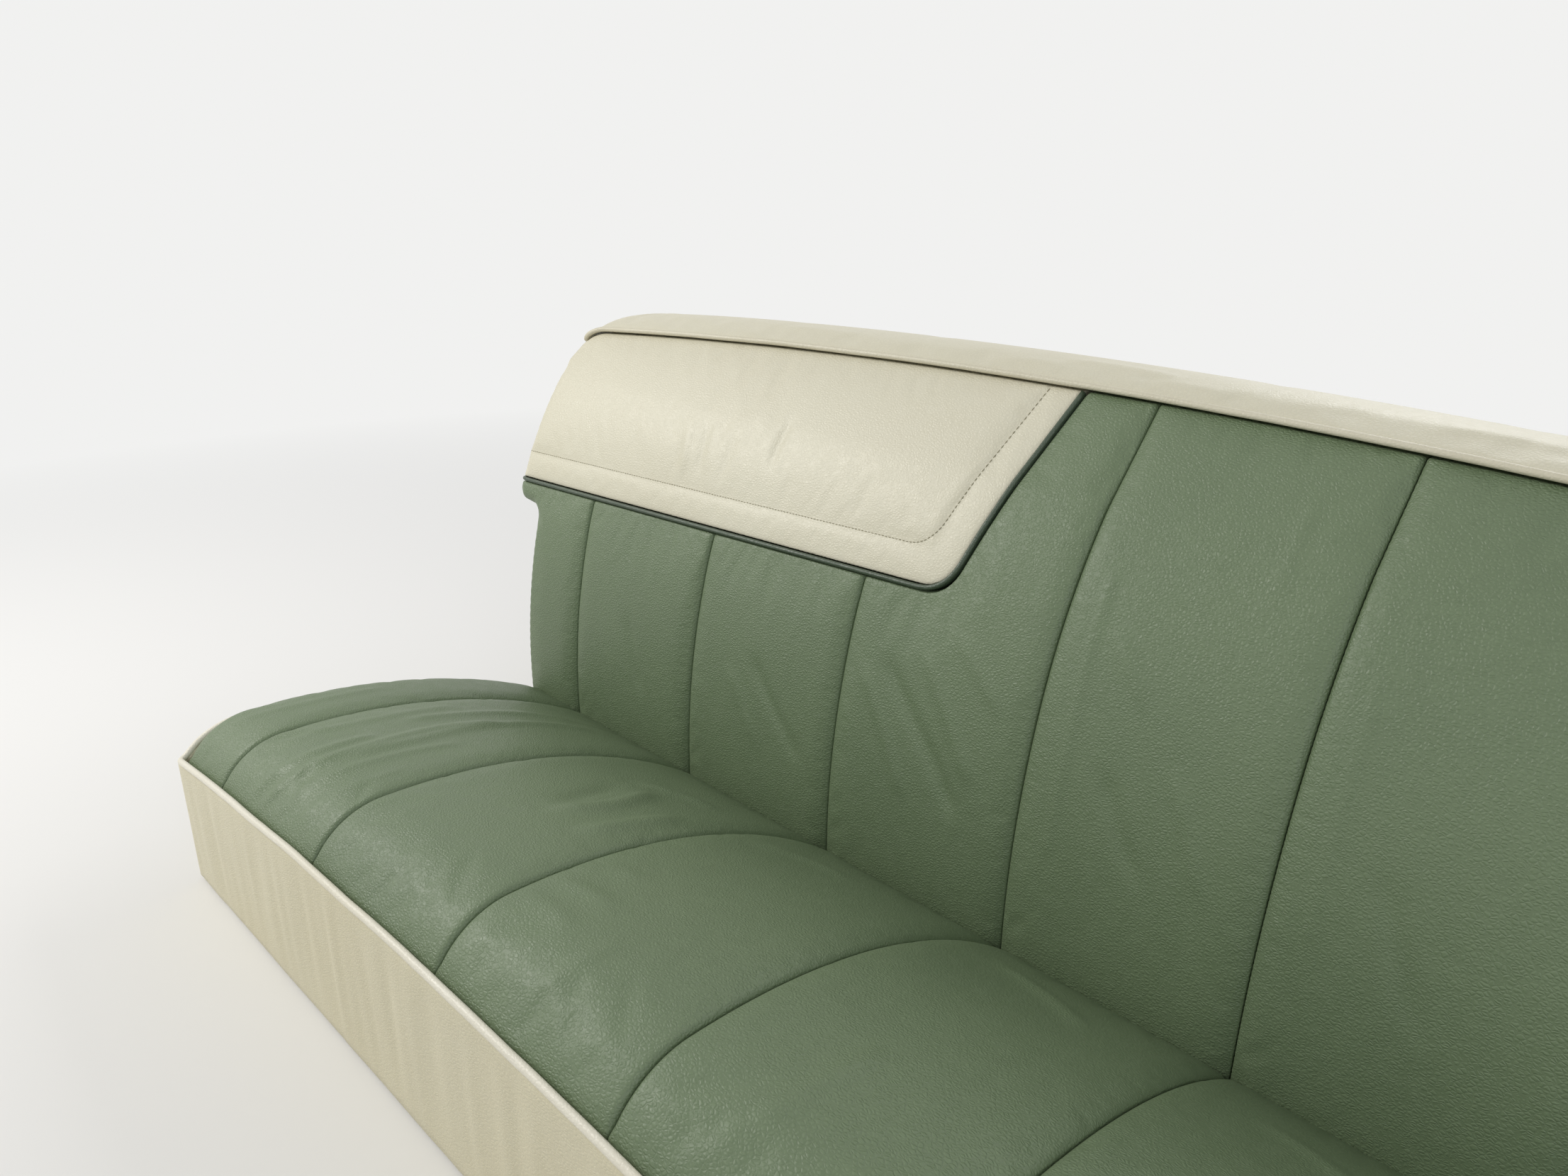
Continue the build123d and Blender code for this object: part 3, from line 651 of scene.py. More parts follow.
class Surface(Nodes):
    """A material on the principled shader."""

    def __init__(self, name, roughness, metallic=0.0):
        super().__init__(bpy.data.materials.new(name))
        self.shader = self.tree.nodes["Principled BSDF"]
        self.place = self.add("TexCoord", "Object", {})
        self.fill(self.shader, {"Roughness": roughness, "Metallic": metallic})

    def clouds(self, scale, detail, roughness=0.5, distortion=0.0):
        inputs = {"Vector": self.place, "Scale": scale, "Detail": detail, "Roughness": roughness,
                  "Distortion": distortion}
        return self.add("TexNoise", "Fac", inputs)

    def finish(self, colour, normal, **others):
        self.fill(self.shader, {"Base Color": colour, "Normal": normal, **others})
        return self.owner


def srgb(red, green, blue):
    """Linear colour of a screen colour from 0 to 255, each part above 10."""
    return (*(((c / 255 + 0.055) / 1.055) ** 2.4 for c in (red, green, blue)), 1)


def leather(name, base, dark, light, roughness, grain, crease):
    """Fine-grained hide: mottled colour, pebbled grain, shallow creases and a soft uneven sheen."""
    made = Surface(name, roughness)
    broad, fine = made.clouds(4.5, 3, 0.55), made.clouds(70, 4, 0.6)
    tone = made.mix(made.remap(broad, 0.35, 0.75, 0, 0.6), srgb(*base), srgb(*dark))
    tone = made.mix(made.remap(fine, 0.45, 0.80, 0, 0.35), tone, srgb(*light))
    wander = made.add("TexNoise", "Color", {"Vector": made.place, "Scale": 210, "Detail": 1})
    warped = made.vector("MULTIPLY_ADD", wander, (0.0024, 0.0024, 0.0024), made.place)
    drawn_out = made.vector("MULTIPLY", warped, (0.70, 1.0, 1.0))
    cells = made.add("TexVoronoi", "Distance", {"Scale": 340, "Vector": drawn_out},
                     feature="DISTANCE_TO_EDGE")
    pebble = made.remap(cells, 0.0, 0.34, 0, 1, "SMOOTHSTEP")
    pit = made.remap(cells, 0.0, 0.10, 1.0 - 0.13 * grain, 1.0)
    lines = made.bump(made.clouds(60, 5, 0.62, 1.4), crease, 0.0008)
    uneven = made.remap(fine, 0.3, 0.8, roughness - 0.05, roughness + 0.09)
    made.fill(made.shader, {"Specular IOR Level": 0.5, "Coat Weight": 0.05, "Coat Roughness": 0.30})
    return made.finish(made.mix(1, tone, pit, "MULTIPLY"),
                       made.bump(pebble, 0.9, 0.00048 * grain, Normal=lines), Roughness=uneven)


def woven(name, thread, gap, pitch, roughness=0.9):
    """Coarse plain weave of uneven threads."""
    made = Surface(name, roughness)
    axes = made.add("SeparateXYZ", "X", {"Vector": made.place}).node.outputs
    waves = [made.calc("SINE", made.calc("MULTIPLY", along, 2 * math.pi / pitch))
             for along in (axes["X"], made.calc("ADD", axes["Y"], axes["Z"]))]
    height = made.remap(made.calc("MULTIPLY", *waves), -1, 1, 0, 1)
    slub, broad = made.clouds(130, 4, 0.7), made.clouds(9, 3)
    bright = (*(1.25 * c for c in thread[:3]), 1)
    tone = made.mix(height, gap, thread)
    tone = made.mix(made.remap(slub, 0.45, 0.75, 0, 0.6), tone, bright)
    tone = made.mix(made.remap(broad, 0.4, 0.8, 0, 0.5), tone, gap)
    return made.finish(tone, made.bump(height, 0.8, 0.0008, Normal=made.bump(slub, 0.4, 0.0006)))


def paint(name, base, worn, rust):
    """Old satin paint on steel, with rubbed patches and a little rust."""
    made = Surface(name, 0.45)
    broad, specks = made.clouds(11, 6, 0.6), made.clouds(160, 5, 0.7)
    tone = made.mix(made.remap(broad, 0.52, 0.66, 0, 0.7), base, worn)
    stain = made.calc("MULTIPLY", made.remap(broad, 0.56, 0.68, 0, 1), made.remap(specks, 0.52, 0.62, 0, 0.8))
    return made.finish(made.mix(stain, tone, rust), made.bump(specks, 0.15, 0.0004),
                       Roughness=made.remap(specks, 0.3, 0.7, 0.38, 0.62))


def spring_metal(name, base, rust):
    made = Surface(name, 0.42, 0.5)
    broad = made.clouds(35, 6, 0.65)
    return made.finish(made.mix(made.remap(broad, 0.48, 0.68, 0, 0.8), base, rust),
                       made.bump(made.clouds(600, 3, 0.6), 0.2, 0.0002),
                       Roughness=made.remap(broad, 0.4, 0.7, 0.34, 0.7))


green = leather("green_leather", (106, 122, 91), (97, 113, 84), (115, 131, 100), 0.49, 0.8, 0.35)
ivory = leather("ivory_leather", (213, 208, 186), (208, 202, 179), (219, 215, 196), 0.45, 0.4, 0.3)
facing_leather = leather("facing_leather", (211, 204, 175), (205, 196, 163), (217, 211, 186), 0.44, 0.6, 0.4)
pale_piping = leather("pale_piping", (226, 221, 204), (214, 207, 184), (234, 230, 216), 0.42, 0.4, 0.2)
ivory_piping = leather("ivory_piping", (208, 202, 180), (194, 186, 160), (218, 213, 194), 0.44, 0.4, 0.2)
# The welt is the same green leather; its darker green is painted shade of the gap it lies in
dark_welt = leather("dark_welt", (64, 78, 60), (54, 66, 51), (74, 90, 70), 0.42, 0.4, 0.2)
stitch_thread = woven("thread", srgb(188, 180, 152), srgb(150, 142, 112), 0.0012, 0.7)
burlap = woven("burlap", srgb(192, 164, 120), srgb(112, 88, 56), 0.0042)
frame_paint = paint("frame_paint", srgb(38, 38, 39), srgb(62, 60, 57), srgb(104, 62, 38))
spring_steel = spring_metal("spring_steel", srgb(74, 73, 72), srgb(98, 66, 46))

# Long folds that use has left: height and width in tenths of a millimetre, then a line in a flat
# view in millimetres. The cushion and the roll are seen from above, the back from the front.
CUSHION_FOLDS = [
    (34, 80, (-545, -487), (-516, -458), (-510, -400), (-504, -330)),
    (38, 90, (-508, -488), (-486, -440), (-480, -350), (-488, -260), (-478, -190)),
    (30, 85, (-472, -400), (-462, -320), (-474, -230), (-476, -140), (-462, -70)),
    (22, 70, (-470, -486), (-446, -430), (-438, -350), (-428, -270)),
    (26, 85, (-534, -300), (-524, -210), (-522, -130), (-494, -70)),
    (18, 85, (-576, -430), (-556, -330), (-560, -200)),
    (14, 65, (-425, -482), (-404, -430), (-398, -350)),
    (50, 105, (-228, -305), (-204, -270), (-196, -236), (-206, -200), (-230, -155)),
    (46, 95, (-172, -310), (-152, -264), (-158, -225), (-148, -175)),
    (-34, 110, (-240, -290), (-236, -240), (-254, -175)),
    (34, 110, (-262, -172), (-222, -128), (-166, -108)),
    (26, 90, (-112, -374), (-72, -352), (-26, -357)),
    (20, 85, (-118, -404), (-72, -389), (-20, -404)),
    (14, 90, (-100, -325), (-66, -300), (-40, -310)),
    (22, 100, (-95, -155), (-50, -110), (20, -92)),
    (14, 70, (-14, -482), (4, -440), (6, -370)),
    (20, 90, (196, -470), (225, -400), (230, -300)),
    (26, 100, (300, -125), (240, -95), (170, -88)),
    (24, 90, (450, -480), (480, -400), (478, -280)),
    (20, 80, (516, -460), (530, -380), (522, -250)),
    (24, 100, (566, -135), (500, -100), (420, -92)),
    (14, 80, (-692, -450), (-668, -360), (-672, -240)),
    (14, 80, (692, -440), (665, -350), (672, -230)),
]
BACK_FOLDS = [
    (-36, 95, (-74, 262), (-40, 228), (-17, 200), (16, 176), (60, 110)),
    (26, 85, (-98, 246), (-63, 200), (-38, 164), (-8, 105)),
    (28, 90, (-24, 284), (13, 240), (40, 206), (72, 150)),
    (20, 80, (14, 304), (57, 268), (95, 234)),
    (-28, 85, (-262, 205), (-238, 166), (-202, 138), (-160, 90)),
    (20, 85, (-298, 180), (-262, 130), (-228, 80)),
    (14, 48, (157, 400), (158, 339), (163, 262), (164, 120)),
    (18, 75, (172, 354), (203, 318), (232, 290)),
    (-24, 95, (196, 240), (222, 190), (262, 130)),
    (18, 90, (262, 260), (290, 210), (318, 140)),
    (12, 48, (401, 380), (403, 280), (406, 150)),
    (-22, 100, (440, 250), (470, 180), (500, 110)),
    (-18, 90, (-500, 190), (-474, 130), (-450, 70)),
    (-24, 60, (-306, 462), (-309, 430), (-307, 392)),
    (22, 70, (-470, 432), (-460, 398), (-448, 358)),
    (-20, 65, (-437, 440), (-430, 402), (-420, 362)),
    (12, 55, (300, 490), (304, 450), (300, 405)),
]
ROLL_FOLDS = [
    (18, 65, (-90, 216), (-30, 223), (30, 217)),
    (22, 75, (-10, 234), (60, 238), (135, 228)),
    (16, 60, (70, 213), (125, 219), (190, 214)),
    (12, 70, (-420, 226), (-350, 231), (-285, 224)),
    (14, 70, (350, 222), (420, 229), (480, 223)),
]

# Cushion covers
pad_half = LOWER_HALF - FACING - GAP
for number, edges in enumerate(zip([-pad_half, *SEAMS], [*SEAMS, pad_half]), 1):
    cushion_cover(number, *edges)


# Covers of the back


def upto(line, x=None, z=None):
    """The part of a rising line before it reaches this x or height."""
    kept = [line[0]]
    for a, b in zip(line, line[1:]):
        k, limit = (0, x) if x is not None else (1, z)
        if b[k] >= limit:
            part = (limit - a[k]) / (b[k] - a[k])
            return kept + [(a[0] + part * (b[0] - a[0]), a[1] + part * (b[1] - a[1]))]
        kept.append(b)
    return kept


def beyond(line, x):
    """The part of a rising line after this x."""
    return [upto(line, x=x)[-1]] + [p for p in line if p[0] > x + 1e-6]


def below_top(line):
    """The part of a rising line below the back's top edge, whose height depends on where it is met."""
    height = BACK_HEIGHT
    for _ in range(9):
        kept = upto(line, z=height)
        height = back_top(kept[-1][0])
    return kept


def top_line(left, right):
    """Top edge of the back from right to left."""
    return [(x, back_top(x)) for x in np.linspace(right, left, max(3, int((right - left) / 0.012)))]


def panel_sides(number, left, right):
    """Outline of a green panel. The insert's border crosses the first four."""
    low_left = -LOWER_HALF + GAP / 2 if number == 1 else left
    low_right = LOWER_HALF - GAP / 2 if number == 7 else right
    upper_left, upper_right, reach = (left, back_top(left)), (right, back_top(right)), left
    if number < 5:
        border = beyond(insert_edge(WELT + GAP), left)
        border = upto(border, x=right) if number < 4 else below_top(border)
        upper_left = border[0]
    if number < 4:
        upper_right = border[-1]
    elif number == 4:
        reach = border[-1][0]
    sides = [("edge", [(low_left, -BACK_TAIL), (low_right, -BACK_TAIL)])]
    if number == 7:
        sides.append(("edge", [
            (low_right, -BACK_TAIL), (low_right, STEP_HEIGHT - 0.010), (low_right + 0.010, STEP_HEIGHT),
            (right - 0.012, STEP_HEIGHT + 0.004), (right, STEP_HEIGHT + 0.016),
            (right, back_top(UPPER_HALF))]))
    else:
        sides.append(("seam", [(right, -BACK_TAIL), upper_right]))
    if number > 3:
        sides.append(("top", top_line(reach, right)))
    if number < 5:
        sides.append(("welt", border[::-1]))
    if number == 1:
        sides.append(("edge", [
            upper_left, (left, STEP_HEIGHT + 0.014), (left + 0.010, STEP_HEIGHT + 0.003),
            (low_left - 0.010, STEP_HEIGHT), (low_left, STEP_HEIGHT - 0.010), (low_left, -BACK_TAIL)]))
    else:
        sides.append(("seam", [upper_left, (left, -BACK_TAIL)]))
    return sides


for number, (left, right) in enumerate(zip([-UPPER_HALF, *SEAMS], [*SEAMS, UPPER_HALF]), 1):
    sides = panel_sides(number, left + GAP / 2, right - GAP / 2)
    back_cover(f"back_cover_{number}", sides, f"back_panel_{number}", PANEL_BLOW, PANEL_STEP)

# Ivory insert
outer = -UPPER_HALF + GAP / 2
border = below_top(beyond(insert_edge(-GAP), outer))
sides = [("welt", border), ("top", top_line(outer, border[-1][0])),
         ("edge", [(outer, back_top(UPPER_HALF)), border[0]])]
stitch_path = upto(beyond(insert_edge(-BORDER), -UPPER_HALF + 0.006), z=back_top(0.0) - 0.006)
stitch_path = spaced(stitch_path, 0.0060)
back_cover("back_insert_cover", sides, "back_insert", INSERT_BLOW, INSERT_STEP, stitch_path)
insert_piece = covers[-1]["object"]


# Top roll


def end_turn(x):
    """How far the front edge of the roll has turned back at x, from 0 to 1, and its setback there."""
    turned = min(max(0.0, (abs(x) - (UPPER_HALF - ROLL_END - WRAP)) / WRAP), 1.0)
    return turned, WRAP * (1 - math.sqrt(1 - turned ** 2))


def along_top(count):
    """Places along the back's top edge, close together in its corners."""
    parts = (0.2, 0.4, 0.6, 0.70, 0.80, 0.88, 0.94, 0.98, 1.0)
    corner = [STRAIGHT + (BACK_CORNER - ROLL_END) * part for part in parts]
    return [-x for x in corner[::-1]] + list(np.linspace(-STRAIGHT, STRAIGHT, count)) + corner


def roll_loop(x):
    """Side outline of the top roll at x, from the piping over the top and back underneath.

    Its flap behind gets shorter towards the ends, so that the lower edge runs nearly level.
    """
    inner = min(abs(x), UPPER_HALF - ROLL_END)
    top_z = back_top(inner) + 0.0006
    top_y = BACK_LEAN - LEAN_SLOPE * (BACK_HEIGHT - top_z) + end_turn(x)[1]
    rear = BACK_LEAN + ROLL_DEPTH
    into = max(0.0, inner - (STRAIGHT - ROLL_RISE))
    rise = ROLL_RISE * math.sqrt(1 - (into / (BACK_CORNER + ROLL_RISE)) ** 2)
    flap = ROLL_FLAP - 0.85 * (back_top(min(inner, STRAIGHT)) - back_top(inner))
    low = top_z - flap
    lid = [(top_y + part * (rear - top_y), top_z + height * rise) for part, height in ROLL_TOP]
    wall = [(rear, top_z - flap * 0.4), (rear - 0.003, low + 0.006)]
    foot = [(rear - 0.008, low), (rear - ROLL_WALL + 0.004, low)]
    over = soften(spaced([(top_y - 0.001, top_z), *lid, *wall, *foot], 0.0055), 4)
    under = [(rear - ROLL_WALL, low + 0.006), (rear - ROLL_WALL, top_z), (top_y + 0.002, top_z)]
    return [*resample(over, OVER_POINTS), *resample(spaced(under, 0.010), UNDER_POINTS)]


def roll_cover():
    rows, free = [], []
    for x in along_top(150):
        rows.append([at(x, y, z) for y, z in roll_loop(x)])
        free += [2 < j < OVER_POINTS - 3 and abs(x) < STRAIGHT for j in range(OVER_POINTS + UNDER_POINTS)]
    for end, row in ((-1, rows[0]), (1, rows[-1])):
        middle = np.mean(np.array(row), axis=0)
        for part, out in ((0.93, 0.0028), (0.78, 0.0050), (0.5, 0.0064)):
            ring = [tuple(middle + (np.array(p) - middle) * part + np.array((end * out, 0, 0))) for p in row]
            rows.insert(0 if end < 0 else len(rows), ring)
    held = [False] * (3 * len(rows[0]))
    keep_cover("back_roll_cover", grid_mesh(rows), held + free + held, "back_top_roll", ROLL_BLOW)


roll_cover()
swell()

for cover in covers:
    piece = cover["object"]
    add_folds(cover)
    round_off(piece)
    hide = ("ivory_leather", ivory) if piece.name in PALE_COVERS else ("green_leather", green)
    finish_piece(piece, *hide, cover["replaces"])

# Stitches along the insert's inner line
tree = BVHTree.FromPolygons([v.co for v in insert_piece.data.vertices],
                            [p.vertices for p in insert_piece.data.polygons])
stitches = []
stitch_ends = spaced(stitch_path, 0.0048)
for (x0, z0), (x1, z1) in zip(stitch_ends, stitch_ends[1:]):
    points = []
    for part, lift in ((0.12, -0.0002), (0.5, 0.0005), (0.88, -0.0002)):
        place = at(x0 + part * (x1 - x0), -0.3, z0 + part * (z1 - z0))
        hit = tree.ray_cast(Vector(place), Vector((0, 1, 0)))
        if hit[0] is not None:
            points.append(hit[0] + hit[1] * lift)
    if len(points) == 3:
        stitches.append(tube_mesh(points, [0.0003, 0.00042, 0.0003], 6))
add_piece("back_insert_stitching", stitches, "ivory_leather", stitch_thread)


# Welt round the insert


def on_front(x, z, stand):
    """Point this far in front of the back's face."""
    setback, slope = front_setback(np.array([z]))
    tilt = math.sqrt(1 + slope[0] ** 2)
    return at(x, setback[0] - stand / tilt, z + stand * slope[0] / tilt)


middle_edge = insert_edge(WELT / 2)
welt_line = upto(beyond(middle_edge, -UPPER_HALF + WRAP), z=BACK_HEIGHT - 0.004)
welt_line = soften(spaced(welt_line, 0.006), 2)
outer_z = beyond(middle_edge, -UPPER_HALF)[0][1]
rear_y = float(np.interp(outer_z, REAR[:, 1], REAR[:, 0]))


def welt_route(depth):
    """Line this far inside the welt's bead: along the side, round the outer edge and over the front."""
    reach = WRAP - 0.0010 - depth
    turn = []
    for t in np.linspace(0.0, math.pi / 2 - 0.15, 9):
        inward = WRAP - reach * math.cos(t)
        z = outer_z + (welt_line[0][1] - outer_z) * inward / WRAP + CORNER_LIFT * math.cos(t)
        turn.append(on_front(-UPPER_HALF + inward, z, reach * math.sin(t) - WRAP))
    rear_end = (turn[0][0], *at(0, rear_y - 0.004, outer_z)[1:])
    side = resample([rear_end, turn[0]], 22)[:-1]
    front = []
    for x, z in welt_line:
        uneven = 0.0004 * noise_at(x * 40, z * 40, 0)
        front.append(on_front(x, z, uneven - 0.0006 - depth))
    return [Vector(p) for p in soften([*side, *turn, *front], 2)]


def flange_rows(bead, tail):
    """Rows of the flat strip of the welt that is sewn in between the covers."""
    rows = []
    for i, (near, deep) in enumerate(zip(bead, tail)):
        thick = heading_at(bead, i).cross(deep - near).normalized() * FLANGE / 2
        rows.append([near + thick, near - thick, deep - thick, deep + thick])
    return rows


bead_line = welt_route(0.0)
welt_parts = [tube_mesh(bead_line, WELT / 2, 14), grid_mesh(flange_rows(bead_line, welt_route(FLANGE_DEPTH)))]
# Its darker green is painted shade of the gap round the welt
add_piece("back_insert_piping", welt_parts, "dark_welt", dark_welt, "back_insert_welt")


# Pipings


def wander(x, size):
    return size * noise_at(x * 9, 3.1, 0.0) + 0.4 * size * noise_at(x * 37, 0.4, 2.0)


def cushion_piping_line():
    """From the crease along one end of the cushion, over its front and back along the other end."""
    turn_y = -CUSHION_DEPTH + PIPING_TURN
    side_x = LOWER_HALF - PIPING
    seam = [(y, z + PIPING * 0.9) for y, z in nose_line(LOWER_HALF, END_SEAM_DROP)]
    seam = soften(spaced(seam, 0.006), 2)
    corner = [(side_x, y, z) for y, z in seam[::-1] if -0.474 < y < -0.004]
    front_z = front_top(LOWER_HALF) + PIPING + GAP
    corner.append((side_x, turn_y, front_z + 0.001))
    corner += [(side_x - PIPING_TURN + PIPING_TURN * math.cos(t), turn_y - PIPING_TURN * math.sin(t), front_z)
               for t in np.linspace(0.3, math.pi / 2, 5)]
    front = [(x, -CUSHION_DEPTH + wander(x, 0.0008), front_top(x) + PIPING + GAP + wander(x + 5, 0.0006))
             for x in np.linspace(side_x - 0.014, -(side_x - 0.014), 240)]
    return corner + front + [(-x, y, z) for x, y, z in corner[::-1]]


def back_piping_line():
    stand = BACK_PIPING + 0.0002
    lean = math.atan(LEAN_SLOPE)
    line = []
    for x in along_top(200):
        z = back_top(x)
        turned, behind = end_turn(x)
        out = math.sqrt(1 - turned ** 2)
        y = BACK_LEAN - LEAN_SLOPE * (BACK_HEIGHT - z) + behind
        line.append(at(x + math.copysign(0.6 * stand * turned, x), y - stand * math.cos(lean) * out,
                       z + stand * math.sin(lean) * out + wander(x, 0.0004)))
    tails = [(x - math.copysign(0.001, x), y + 0.012, z) for x, y, z in (line[0], line[-1])]
    return [tails[0], *line, tails[1]]


cushion_cord = tube_mesh([at(*p) for p in soften(cushion_piping_line(), 2)], PIPING)
add_piece("cushion_piping_cord", [cushion_cord], "pale_piping", pale_piping,
          "cushion_piping", "cushion_end_piping")
back_cord = tube_mesh(soften(back_piping_line(), 2), BACK_PIPING)
add_piece("back_piping_cord", [back_cord], "pale_piping", ivory_piping, "back_top_piping")


# Facings


def facing_mesh(places, top, ripples, point):
    """Thin padded board: top(place) is its upper edge, ripples(place, z) its face, point(place, depth, z)."""
    rows = []
    for s in places:
        high = top(s)
        levels = np.linspace(FACING_LOW + 0.002, high - FACING_ROUND, 22)
        loop = [(FACING_ROUND, FACING_LOW)] + [(ripples(s, z), z) for z in levels]
        loop += [(FACING_ROUND, high), (FACING - FACING_ROUND, high), (FACING, high - FACING_ROUND)]
        loop += [(FACING, z) for z in np.linspace(high - 0.02, FACING_LOW + 0.02, 6)]
        loop += [(FACING, FACING_LOW + FACING_ROUND), (FACING - FACING_ROUND, FACING_LOW)]
        rows.append([point(s, depth, z) for depth, z in loop])
    return grid_mesh(rows)


def ripple(s, z, high):
    """Soft upright ripples, strongest in the middle of the facing's height."""
    part = (z - FACING_LOW) / (high - FACING_LOW)
    fullness = math.sin(math.pi * min(max(part, 0), 1)) ** 0.6
    tall = noise_at(s * 26, z * 3.2, 1.7) + 0.5 * noise_at(s * 61, z * 5, 8.3)
    return -0.0034 * fullness * tall - 0.0012 * fullness


front_board = facing_mesh(
    np.linspace(-LOWER_HALF, LOWER_HALF, 250), front_top,
    lambda x, z: max(-0.0050, ripple(x, z, front_top(x))),
    lambda x, depth, z: at(x, -CUSHION_DEPTH + depth, z))
front_piece = add_piece("cushion_front_cover", [front_board], "facing_leather", facing_leather,
                        "cushion_front_facing")

end_line = np.array(nose_line(LOWER_HALF, END_SEAM_DROP))
end_boards = [
    facing_mesh(
        np.linspace(-CUSHION_DEPTH + FACING + GAP, -GAP, 90),
        lambda y: float(np.interp(y, end_line[:, 0], end_line[:, 1])),
        lambda y, z: 0.4 * ripple(y + side, z, 0.1),
        lambda y, depth, z: at(side * (LOWER_HALF - depth), y, z))
    for side in (-1, 1)]
end_piece = add_piece("cushion_end_covers", end_boards, "facing_leather", facing_leather,
                      "cushion_end_facings")


# Springs: round wire, bent back and forth and bowed over the span


def spring_points(x, hang, bow, waves):
    """Middle line of one spring, with a flat foot at each end."""
    arc = bow_line(hang, bow, 0.0, 60)
    up_y, up_z, _ = direction(*hang)
    if up_y > abs(up_z):
        up_y, up_z = 1.0, 0.0
    foot_y, foot_z = SPRING_FOOT * up_y, SPRING_FOOT * up_z
    line = [(arc[0][0] - foot_y, arc[0][1] - foot_z), *arc, (arc[-1][0] + foot_y, arc[-1][1] + foot_z)]
    line = np.array(line)
    run = np.concatenate([[0], np.cumsum(stretches(line))])
    pitch = run[-1] / waves
    bend = pitch / 2
    flat = [(0.0, 0.0)]
    for i in range(waves):
        side = 1 if i % 2 == 0 else -1
        centre = side * (WAVE_WIDTH / 2 - bend * 0.8)
        flat += [(centre + side * bend * 0.8 * math.cos(t), (i + 0.5) * pitch + bend * math.sin(t))
                 for t in np.linspace(-math.pi / 2, math.pi / 2, 11)]
    flat.append((0.0, run[-1]))
    return [at(x + aside, np.interp(s, run, line[:, 0]), np.interp(s, run, line[:, 1])) for aside, s in flat]


for word, (hang, bow, waves, half) in SPRUNG.items():
    wires = [tube_mesh(spring_points(x, hang, bow, waves), WIRE / 2, 10) for x in SEAMS]
    add_piece(f"{word}_sinuous_springs", wires, "spring_steel", spring_steel, f"{word}_springs")

# Spring cloths, sagging a little between the springs
for word, (hang, bow, waves, half) in SPRUNG.items():
    top = bow_line(hang, bow, CLOTH_LIFT + CLOTH_THICKNESS, 60)
    low = bow_line(hang, bow, CLOTH_LIFT, 60)[::-1]
    rows = []
    for x in np.linspace(-half, half, 260):
        sag = 0.0006 * noise_at(x * 22, 5.0, 0)
        rows.append([at(x, y, z + sag) for y, z in top] + [at(x, y, z + min(sag, 0) * 0.2) for y, z in low])
    name = f"{word}_spring_cloth"
    sheet = add_piece(name + "_sheet", [grid_mesh(rows)], "spring_cloth", burlap, name)

# Margins of the cover, drawn back from the pads and held to the side channels with hog rings
UP_Y, UP_Z, FRAME_LENGTH = direction(*BACK_HANG)


def frame_place(along, behind):
    """Side-view point this far up the leaning frame of the back and behind its spring line."""
    y, z = BACK_HANG[0]
    return y + along * UP_Y + behind * UP_Z, z + along * UP_Z - behind * UP_Y


def add_margin(side, word):
    rows, widths = [], []
    pad_line = resample(bow_line(BACK_HANG, BACK_BOW, PAD_LIFT - 0.0004, 60), 81)
    for i, (y, z) in enumerate(pad_line[2:-2], 2):
        along = FRAME_LENGTH * i / 80
        pull = 0.0012 * noise_at(along * 38, side * 3.0, 4.0)
        path = [(RAIL_X + 0.0008, *frame_place(along, LIP - 0.001)),
                (RAIL_X + 0.0008, *frame_place(along, 0.001)),
                (RAIL_X + 0.0115 + pull, *frame_place(along, -0.006)), (LOWER_HALF - 0.006, y, z)]
        path = resample(soften(spaced(path, 0.004), 3), 14)
        widths.append(float(stretches(path).sum()))
        under = path - np.array((0.0012, 0, 0))
        rows.append([at(side * px, py, pz) for px, py, pz in [*path, *under[::-1]]])
    rings = []
    for along in np.linspace(0.030, FRAME_LENGTH - 0.030, 9):
        ring = []
        for t in np.linspace(0.5, 2 * math.pi - 0.2, 16):
            y, z = frame_place(along + 0.0010 * t / 6, LIP - 0.002 + HOG_RING * math.sin(t))
            ring.append(at(side * (RAIL_X - 0.0015 + HOG_RING * math.cos(t)), y, z))
        rings.append(tube_mesh(ring, 0.0008, 6))
    ring_piece = add_piece(f"back_{word}_hog_rings", rings, "spring_steel", spring_steel)
    margin = add_piece(f"back_{word}_margin", [grid_mesh(rows)], "green_leather", green)


add_margin(-1, "left")
add_margin(1, "right")

# Finishes of the steel pieces that the frame carries over
PAINTED = ("rail", "member", "post", "brace", "tab", "upright", "bracket", "hanger")
for name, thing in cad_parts.items():
    if name.endswith("_clips"):
        dress(thing, spring_steel)
    elif any(word in name for word in PAINTED):
        dress(thing, frame_paint)

# Floor, which melts into the pale surround away from the seat
PALE = (0.88, 0.88, 0.87, 1)
ground = Surface("floor", 0.9)
ground.fill(ground.shader, {"Base Color": (0.80, 0.79, 0.77, 1), "Specular IOR Level": 0.2})
away = ground.add("VectorMath", "Value", {0: ground.place}, operation="LENGTH")
rays = ground.rays()
seen = ground.calc("MAXIMUM", rays["Is Camera Ray"], rays["Is Glossy Ray"])
amount = ground.calc("MULTIPLY", ground.remap(away, 1.0, 3.2, 0, 1), seen)
glow = ground.add("Emission", "Emission", {"Color": PALE})
melt = ground.add("MixShader", "Shader", {"Fac": amount, 1: ground.shader.outputs["BSDF"], 2: glow})
ground.fill(ground.tree.nodes["Material Output"], {"Surface": melt})
floor_mesh = bpy.data.meshes.new("floor")
floor_corners = [(x, y, -0.0005) for x, y in ((-30, -30), (30, -30), (30, 30), (-30, 30))]
floor_mesh.from_pydata(floor_corners, [], [(0, 1, 2, 3)])
floor_mesh.materials.append(ground.owner)
add_object("floor", floor_mesh)

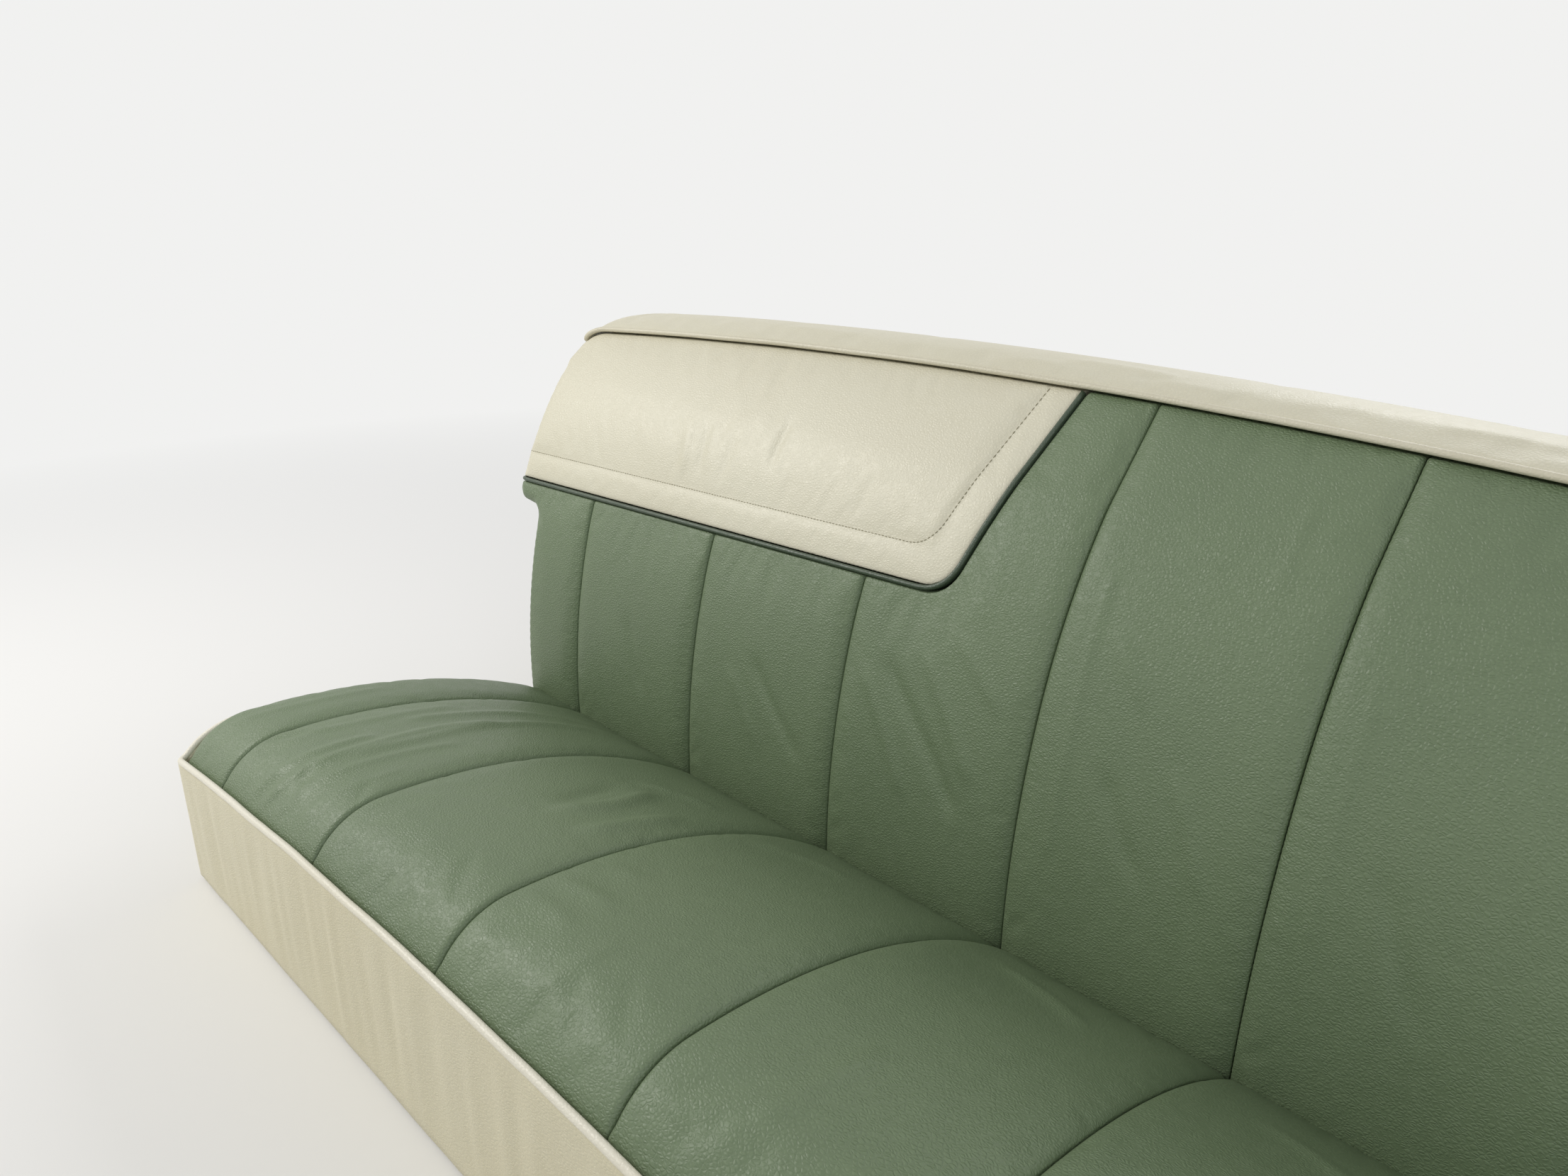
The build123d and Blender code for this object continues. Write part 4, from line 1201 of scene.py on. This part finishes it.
# Light: a pale surround and three broad soft lamps
sky = Nodes(bpy.data.worlds.new("world"))
bpy.context.scene.world = sky.owner
soft_light = sky.tree.nodes["Background"]
sky.fill(soft_light, {"Color": (0.93, 0.95, 0.98, 1), "Strength": 0.50})
rays = sky.rays()
seen = sky.calc("MAXIMUM", rays["Is Camera Ray"],
               sky.calc("MAXIMUM", rays["Is Glossy Ray"], rays["Is Transmission Ray"]))
surround = sky.add("Background", "Background", {"Color": PALE, "Strength": 1.0})
blend = sky.add("MixShader", "Shader", {"Fac": seen, 1: soft_light.outputs["Background"], 2: surround})
sky.fill(sky.tree.nodes["World Output"], {"Surface": blend})


def add_lamp(name, place, size, power, colour):
    data = bpy.data.lights.new(name, "AREA")
    data.shape = "RECTANGLE"
    data.size, data.size_y = size
    data.energy = power
    data.color = colour
    turn = (Vector((0, 0.1, 0.3)) - Vector(place)).to_track_quat("-Z", "Y")
    add_object(name, data).matrix_world = Matrix.Translation(place) @ turn.to_matrix().to_4x4()


add_lamp("key", (-2.3, -1.5, 2.1), (1.1, 0.9), 50, (1.0, 0.98, 0.94))
add_lamp("fill", (2.4, -1.8, 1.8), (2.2, 1.8), 21, (0.94, 0.97, 1.0))
add_lamp("behind", (0.3, 2.6, 2.2), (2.4, 1.6), 33, (1.0, 1.0, 1.0))

# Camera at the photograph's place and angle
PICTURE_WIDTH = 2212
FOCAL_PIXELS = 1630.8
CAMERA_PLACE = (0.6543, -0.8363, 0.7572)
YAW, PITCH, ROLL = (math.radians(a) for a in (45.26, 20.90, 0.35))


def add_camera():
    data = bpy.data.cameras.new("camera")
    data.sensor_width = 36.0
    data.lens = FOCAL_PIXELS / PICTURE_WIDTH * data.sensor_width
    data.clip_start = 0.01
    camera = add_object("camera", data)
    forward = Vector((-math.sin(YAW) * math.cos(PITCH), math.cos(YAW) * math.cos(PITCH), -math.sin(PITCH)))
    right = Vector((math.cos(YAW), math.sin(YAW), 0))
    up = right.cross(forward)
    right, up = math.cos(ROLL) * right + math.sin(ROLL) * up, math.cos(ROLL) * up - math.sin(ROLL) * right
    turn = Matrix((right, up, -forward)).transposed()
    camera.matrix_world = Matrix.Translation(at(*CAMERA_PLACE)) @ turn.to_4x4()
    bpy.context.scene.camera = camera


add_camera()
bpy.context.scene.view_settings.view_transform = "Standard"
